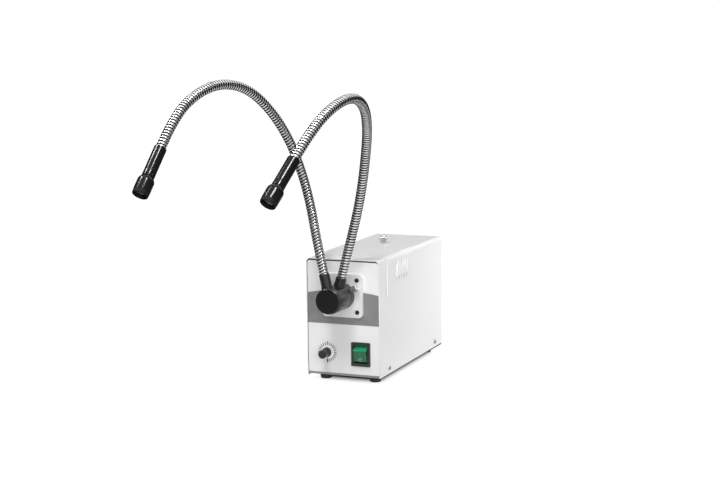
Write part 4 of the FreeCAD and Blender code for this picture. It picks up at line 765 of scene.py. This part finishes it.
class Line:
    """A line that can be read at any length from its start."""

    def __init__(self, points):
        self.points = points
        self.reach = [0.0]
        for a, b in zip(points, points[1:]):
            self.reach.append(self.reach[-1] + (b - a).length)
        self.length = self.reach[-1]

    def at(self, length):
        """The place at a length."""
        length = min(max(length, 0.0), self.length)
        low, high = 0, len(self.reach) - 1
        while high - low > 1:
            middle = (low + high) // 2
            low, high = (middle, high) if self.reach[middle] <= length else (low, middle)
        a, b = self.points[low], self.points[high]
        share = (length - self.reach[low]) / (self.reach[high] - self.reach[low])
        return a.lerp(b, share)

    def way(self, length):
        """The direction at a length."""
        return (self.at(length + 1.5) - self.at(length - 1.5)).normalized()

    def bend(self, length):
        """How sharply the line turns at a length: 0 for straight, 1 from a radius of about 120 mm."""
        length = min(max(length, 10.0), self.length - 10.0)
        return min(1.0, self.way(length - 8.0).angle(self.way(length + 8.0)) / 16.0 * 120.0)

    def nearest(self, point):
        """The length at which the line passes nearest to a point."""
        best = min(range(len(self.points)), key=lambda n: (self.points[n] - point).length)
        return self.reach[best]


def swept(line, start, end, step, radius_at, sides):
    """A tube along a line: rings are drawn out one after another; radius_at(length, angle)."""
    shape = bmesh.new()
    # the groove attribute carries the painted shade of the hose's seams
    groove = shape.verts.layers.float.new("groove")
    ring = bmesh.ops.create_circle(shape, segments=sides, radius=1.0)["verts"]
    edges = shape.edges[:]
    count = max(2, round((end - start) / step))
    side_way = None
    rings = []
    for n in range(count + 1):
        if n:
            made = bmesh.ops.extrude_edge_only(shape, edges=edges)["geom"]
            edges = [e for e in made if isinstance(e, bmesh.types.BMEdge)]
            edges = [e for e in edges if not any(v in rings[-1] for v in e.verts)]
            before = rings[-1]
            ring = []
            for vert in before:
                ring.append(next(
                    e.other_vert(vert) for e in vert.link_edges if e.other_vert(vert) not in before
                    and (len(rings) < 2 or e.other_vert(vert) not in rings[-2])
                ))
        length = start + (end - start) * n / count
        centre, way = line.at(length), line.way(length)
        if side_way is None:
            side_way = way.cross(Vector((0, 1, 0.3))).normalized()
        side_way = (side_way - way * side_way.dot(way)).normalized()
        other_way = way.cross(side_way)
        for k, vert in enumerate(ring):
            angle = 2 * math.pi * k / sides
            radius, depth = radius_at(length, angle)
            vert.co = centre + (side_way * math.cos(angle) + other_way * math.sin(angle)) * radius
            vert[groove] = depth
        rings.append(ring)
    bmesh.ops.recalc_face_normals(shape, faces=shape.faces)
    return shape


def strip_radius(line):
    """The outside of a spiral-wound strip in round turns, with painted shade down in the seams that reaches
    wider where the hose is bent.
    """
    def radius_at(length, angle):
        phase = (length / HOSE_PITCH - angle / (2 * math.pi)) % 1.0
        across = abs(phase - 0.5) * 2.0
        fall = 1.55 * (1.0 - math.sqrt(1.0 - 0.88 * across ** 2))
        # where the painted shade in the seam begins; it starts lower on the turn where the hose bends
        edge = 0.48 - 0.18 * line.bend(length)
        return HOSE_R - fall, min(1.0, max(0.0, (across - edge) / 0.28))
    return radius_at


def bundle_radius(_length, _angle):
    """The outside of the fibre bundle: round and plain."""
    return BUNDLE_R, 0.0


def gooseneck(side, root, way, top, route):
    """One arm: hose and fibre bundle in lengths that meet halfway between neighbouring pivots."""
    points = arm_points(root, way, top, route)
    line = Line(smooth_line(points))
    pivots = [line.nearest((points[n] + points[n + 1]) / 2) for n in (0, 3, 6, 8)]
    ends = [0.0] + [(a + b) / 2 for a, b in zip(pivots, pivots[1:])] + [line.length]
    for n in range(4):
        start, end = ends[n], ends[n + 1]
        hose = swept(line, start, end, HOSE_PITCH / 12, strip_radius(line), 32)
        hose = finish_piece(hose, f"hose_{side}_length_{n + 1}", None, HOSE_STRIP, (), 180.0)
        bundle = swept(line, start, end, 4.0, bundle_radius, 16)
        bundle = finish_piece(
            bundle, f"bundle_{side}_length_{n + 1}", None, FIBRE_GLASS, (), 180.0,
        )
        for piece in (hose, bundle):
            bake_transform(piece)
        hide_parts(f"hose_{side}_{n + 1}")
        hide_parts(f"fibre_{side}_{n + 1}")
        if n == 0:
            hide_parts("hose_roots")
    return points


# ---- nozzles
def nozzle(side, points):
    """The sleeve, the head and the lens at an arm's end."""
    stand = aim(points[-1], (points[-1] - points[-2]).normalized())
    sleeve = lathe([
        (4.3, 0.2), (6.5, 0.2), (7.3, 0.0), (7.8, 0.4), (8.0, 1.2), (8.0, 33.6), (7.75, 34.1),
        (7.75, 34.7), (8.0, 35.1), (8.15, 42.2), (7.9, 42.8), (7.2, 43.0), (7.0, 43.2), (7.0, 52.0),
        (4.3, 52.0), (4.3, 0.2),
    ], 64)
    turned(put(sleeve, stand), f"nozzle_sleeve_{side}_turned", f"{side}_4", NOZZLE_BLACK,
           (f"nozzle_sleeve_{side}",))
    head = lathe([
        (7.05, 44.0), (8.2, 44.0), (8.6, 44.3), (9.8, 46.2), (10.45, 47.6), (10.68, 48.6), (10.7, 50.0),
        (10.7, 63.4), (10.45, 63.9), (10.3, 68.0), (10.0, 68.6), (9.5, 69.0), (9.0, 68.9), (8.7, 68.4),
        (8.7, 63.4), (5.3, 63.2), (5.3, 53.2), (7.05, 53.0), (7.05, 44.0),
    ], 72)
    for face in head.faces:
        face.material_index = int(face.calc_center_median().z > 63.6)
    turned(put(head, stand), f"nozzle_head_{side}_turned", f"{side}_4", [NOZZLE_BLACK, TIP_BLACK],
           (f"nozzle_head_{side}",))
    lens = lathe([
        (0.0, 66.4), (2.6, 66.2), (5.2, 65.7), (7.2, 65.0), (8.6, 64.3), (8.6, 63.6), (0.0, 63.6),
    ], 48)
    finish_piece(put(lens, stand), f"nozzle_lens_{side}_polished", f"{side}_4", LENS_GLASS_SHADED,
                 (f"nozzle_lens_{side}",))


def guide():
    """The light guide, from its socket to both nozzles."""
    socket_collar()
    manifold()
    arm_collars()
    left = gooseneck("left", LEFT_ROOT, LEFT_WAY, LEFT_TOP, LEFT_ROUTE)
    right = gooseneck("right", RIGHT_ROOT, RIGHT_WAY, RIGHT_TOP, RIGHT_ROUTE)
    nozzle("left", left)
    nozzle("right", right)
    dressed("ferrule", "ferrule", FERRULE_STEEL, 0.25)
    plain("fibre_trunk", FIBRE_GLASS)


# ---- front controls
def knob():
    """A slim fluted knob on a wider grey foot, with a white pointer that also stands in for a glint: painted
    highlight.
    """
    foot = painted(lathe([
        (5.9, 0.0), (6.6, 0.0), (6.8, 0.3), (6.8, 3.1), (6.5, 3.5), (5.6, 3.6), (5.6, 1.0), (5.9, 0.0),
    ], 64), 1)
    body = lathe([
        (5.6, 2.8), (5.6, 4.0), (5.3, 5.2), (5.6, 13.0), (5.9, 16.6), (5.9, 18.0), (5.5, 18.7), (4.8, 18.9),
        (4.4, 18.7), (0.0, 18.65), (0.0, 5.0), (5.3, 5.0), (5.3, 2.8), (5.6, 2.8),
    ], 72)
    for vert in body.verts:
        around = math.hypot(vert.co.x, vert.co.y)
        if around > 5.4 and 4.5 < vert.co.z < 18.5:
            place = round((math.atan2(vert.co.y, vert.co.x) % (2 * math.pi)) / (math.pi / 36))
            if place % 4 == 0:
                vert.co.x *= 0.92
                vert.co.y *= 0.92
    # white pointer stripe, also a painted highlight where a glint shows
    pointer = painted(slab((-0.5, 0.5), (4.9, 5.75), (8.0, 18.3), 0.1), 2)
    whole = joined([foot, body, pointer])
    whole = put(whole, aim(KNOB, FORWARD, math.radians(KNOB_POINTER)))
    turned(whole, "fluted_knob", "knob", [KNOB_BLACK, KNOB_GREY, WHITE_INK_AND_GLINT], ("knob",), 30.0)
    dressed("pot_nut", "case", WASHER_SATIN, 0.15)
    dressed("pot_body", "case", ZINC, 0.2)
    plain("knob_shaft", ZINC)


def rocker_marks():
    """The generic bar and ring on the rocker."""
    bar = painted(slab((-0.45, 0.45), (-10.06, -9.8), (1.4, 4.6), 0.08), 1)
    ring = lathe([(1.65, 0.0), (2.65, 0.0), (2.65, 0.3), (1.65, 0.3), (1.65, 0.0)], 32)
    ring = put(ring, Matrix.Translation((0, -9.85, -5.2)) @ aim((0, 0, 0), FORWARD))
    marks = put(joined([bar, ring]), Matrix.Translation(SWITCH) @ Matrix.Rotation(ROCKER_TILT, 4, "X"))
    finish_piece(marks, "rocker_marks", "rocker", [PALE_GREEN, FAINT_GREEN], (), 30.0)


def switch():
    """The switch with its green rocker."""
    dressed("switch_body", "case", SWITCH_BLACK, 0.3)
    rocker = from_node("rocker", 0.35, segments=3)
    # faces that look upwards take the brighter copy: painted highlight
    for face in rocker.faces:
        face.material_index = int(face.normal.z > 0.55)
    rocker = finish_piece(rocker, "dressed_rocker", "rocker", [ROCKER_GREEN, ROCKER_SHOULDER_LIT], ("rocker",),
                          40.0)
    weigh_normals(rocker)
    rocker_marks()


# ---- rear
def fan():
    """Frame, rotor, hub foil and wire guard."""
    dressed("fan_frame", "case", FAN_BLACK, 0.4)
    dressed("fan_rotor", "fan_rotor", FAN_BLACK, 0.25)
    label = lathe([(0.0, 0.0), (17.6, 0.0), (17.6, 0.12), (17.4, 0.2), (0.0, 0.2)], 72)
    label = put(label, aim((0, 126.8, AXIS_Z), BACKWARD))
    finish_piece(label, "fan_hub_foil", "case", LABEL_FOIL, ())
    plain("fan_guard", GUARD_CHROME)


def rear():
    """Fan, inlet with its fuse drawer, and voltage selector."""
    fan()
    dressed("inlet_body", "case", INLET_BLACK, 0.3)
    dressed("inlet_pins", "case", PIN_BRASS, 0.3)
    dressed("fuse_drawer", "fuse_drawer", INLET_BLACK, 0.2)
    plain("fuses", FUSE_GLASS)
    dressed("selector_body", "case", INLET_BLACK, 0.2)
    dressed("selector_slider", "selector_slider", INLET_BLACK, 0.2)


# ---- inside
def inside():
    """What the louvres and the openings let one see."""
    dressed("lamp_bracket", "case", ZINC, 0.2)
    dressed("halogen_lamp", "case", REFLECTOR, 0.2)
    dressed("lamp_socket", "case", CERAMIC, 0.5)
    dressed("heat_filter", "case", FILTER_GLASS, 0.2)
    dressed("transformer", "case", LAMINATION, 0.4)
    dressed("control_board", "case", BOARD_MASK, 0.15)


# ---- studio, camera
SHADE_REACH = 0.024                 # how far the shade under the case fades out, in metres
POOL_MIDDLE = (0.05, -0.16, 0.0)    # middle of what polished parts show of the bright floor
LIT_PLACE = Vector((0, -60, 150))   # what the soft boxes face


def studio():
    """A white floor with a painted shade under the case, two key boxes in front, and large soft boxes
    around.
    """
    paper = Finish("studio_floor", (0.25, 0.25, 0.25), 0.9)
    paper.gloss(paper.ranged(paper.noise(3.0, 2.0), 0.85, 0.95))
    outside = outside_case(paper)
    # painted shade: the floor is darkened under the case
    paper.tint(paper.ranged(outside, 1.0, 0.0, 0.0, SHADE_REACH), (0.02, 0.02, 0.02))
    # the floor's glow fades in from nothing under the case: painted shade too
    glow = paper.ranged(outside, 0.0, 0.85, 0.0, SHADE_REACH)
    eye = paper.nodes.new("ShaderNodeLightPath").outputs
    near = paper.reckon("VectorMath", "DISTANCE", paper.place, POOL_MIDDLE)
    pool = paper.ranged(near, 1.0, 0.12, 0.20, 0.36)
    share = paper.reckon("Math", "MULTIPLY_ADD", eye["Is Glossy Ray"], pool, eye["Is Camera Ray"])
    paper.shader.inputs["Emission Color"].default_value = (1.0, 1.0, 1.0, 1.0)
    paper.links.new(paper.reckon("Math", "MULTIPLY", glow, share), paper.shader.inputs["Emission Strength"])
    floor = bmesh.new()
    bmesh.ops.create_circle(floor, cap_ends=True, segments=96, radius=700.0)
    finish_piece(floor, "studio_floor", None, paper.material)

    world = bpy.data.worlds.new("studio")
    world.use_nodes = True
    bpy.context.scene.world = world
    room = Room(world)
    room.patch(0, 90, 0.72, 0.72, 1.5)
    room.patch(172, 34, 0.62, 0.26, 1.8)
    room.patch(20, 0, 0.50, 0.36, 1.0)
    room.patch(62, 9, 0.60, 0.16, 1.6)
    room.patch(135, -22, 0.60, 0.08, 1.2)
    room.close(0.06, 1.1)

    # azimuth is counted from the front panel's side towards +X
    soft_box("left_key", -58, 50, 1900, (280, 280), 32.0, lights=False)
    soft_box("right_key", 36, 52, 1900, (280, 280), 42.0, lights=False)
    soft_box("top_key", 6, 55, 1900, (520, 520), 21.0, shines=False)
    soft_box("window_box", 26, 10, 1900, (1500, 1500), 29.0, shines=False)
    soft_box("side_box", 130, 0, 700, (500, 250), 2.75, shines=False)
    soft_box("back_box", 172, 12, 2000, (1000, 900), 16.0, shines=False)
    soft_box("far_side_box", -120, 12, 2000, (900, 1000), 16.0, shines=False)


class Room(Tree):
    """What polished metal shows of the room: bright patches on dim walls."""

    def __init__(self, world):
        super().__init__(world.node_tree)
        self.way = self.nodes.new("ShaderNodeTexCoord").outputs["Generated"]
        self.total = None

    def swung(self, way, turn):
        mapping = self.nodes.new("ShaderNodeMapping")
        mapping.vector_type = "VECTOR"
        mapping.inputs["Rotation"].default_value = turn
        self.links.new(way, mapping.inputs["Vector"])
        return mapping.outputs["Vector"]

    def patch(self, azimuth, height, across, up, strength):
        """A soft oval patch round a direction; across and up are sines of its half angles."""
        way = self.swung(self.way, (0.0, 0.0, -math.radians(azimuth)))
        way = self.swung(way, (math.radians(height), 0.0, 0.0))
        way = self.reckon("VectorMath", "ADD", way, (0.0, 1.0, 0.0))
        way = self.reckon("VectorMath", "MULTIPLY", way, (1.0 / across, 0.6, 1.0 / up))
        found = self.ranged(self.reckon("VectorMath", "LENGTH", way), strength, 0.0, 0.8, 1.15)
        if self.total:
            found = self.reckon("Math", "MAXIMUM", self.total, found)
        self.total = found

    def backdrop(self, strength):
        """A plain white background of a strength."""
        shade = self.nodes.new("ShaderNodeBackground")
        shade.inputs["Color"].default_value = (1.0, 1.0, 1.0, 1.0)
        shade.inputs["Strength"].default_value = strength
        return shade

    def close(self, dim, seen):
        """Dim for diffuse light, patched for reflections, plain white behind the object."""
        path = self.nodes.new("ShaderNodeLightPath")
        bright = self.backdrop(0.0)
        self.links.new(self.reckon("Math", "ADD", self.total, dim), bright.inputs["Strength"])
        shade = self.backdrop(dim)
        for flag, other in (("Is Glossy Ray", bright), ("Is Camera Ray", self.backdrop(seen))):
            mix = self.nodes.new("ShaderNodeMixShader")
            self.links.new(path.outputs[flag], mix.inputs["Fac"])
            self.links.new(shade.outputs[0], mix.inputs[1])
            self.links.new(other.outputs[0], mix.inputs[2])
            shade = mix
        self.links.new(shade.outputs[0], self.nodes["World Output"].inputs["Surface"])


def outside_case(paper):
    """How far a place on the floor lies outside the deep painted shade under the case, in metres."""
    place = paper.reckon("VectorMath", "ABSOLUTE", paper.place)
    place = paper.reckon("VectorMath", "SUBTRACT", place, (0.037, 0.092, 1.0))
    place = paper.reckon("VectorMath", "MAXIMUM", place, (0.0, 0.0, 0.0))
    place = paper.reckon("VectorMath", "MULTIPLY", place, (1.8, 1.0, 1.0))
    return paper.reckon("VectorMath", "LENGTH", place)


def soft_box(name, azimuth, height, distance, size, power, lights=True, shines=True):
    """A soft box that faces the object; it may only light it, or only be reflected in it."""
    around, up = math.radians(azimuth), math.radians(height)
    way = Vector((math.sin(around) * math.cos(up), -math.cos(around) * math.cos(up), math.sin(up)))
    lamp = bpy.data.lights.new(name, "AREA")
    lamp.shape = "RECTANGLE"
    lamp.size, lamp.size_y = size[0] * MM, size[1] * MM
    lamp.energy = power
    box = bpy.data.objects.new(name, lamp)
    box.location = (LIT_PLACE + way * distance) * MM
    box.rotation_euler = (-way).to_track_quat("-Z", "Y").to_euler()
    box.visible_camera = False
    box.visible_diffuse = lights
    box.visible_glossy = shines
    bpy.context.scene.collection.objects.link(box)


def camera():
    """Stands a long lens well in front, a little above and to the right."""
    yaw, pitch, roll = 0.38906, 0.145275, -0.0122467
    distance, right_shift, up_shift = 2211.0, 25.22, -76.82
    target = Vector((0.0, 0.0, 92.5))
    ahead = Vector((-math.sin(yaw) * math.cos(pitch), math.cos(yaw) * math.cos(pitch), -math.sin(pitch)))
    level = Vector((math.cos(yaw), math.sin(yaw), 0.0))
    above = level.cross(ahead)
    right = level * math.cos(roll) + above * math.sin(roll)
    up = above * math.cos(roll) - level * math.sin(roll)
    place = (target - right * right_shift - up * up_shift - ahead * distance) * MM
    lens = bpy.data.cameras.new("camera")
    lens.lens = 75.3
    lens.sensor_width = 36.0
    lens.clip_end = 50.0
    eye = bpy.data.objects.new("camera", lens)
    turn = Matrix((right, up, -ahead)).transposed().to_4x4()
    eye.matrix_world = Matrix.Translation(place) @ turn
    bpy.context.scene.collection.objects.link(eye)
    bpy.context.scene.camera = eye


camera()
studio()
sheet_case()
panel_gap_shade()
lower_edge_shade()
band()
dial_ticks()
all_screws()
feet()
guide()
thumbscrews()
knob()
switch()
rear()
inside()

bpy.context.scene.view_settings.view_transform = "Standard"
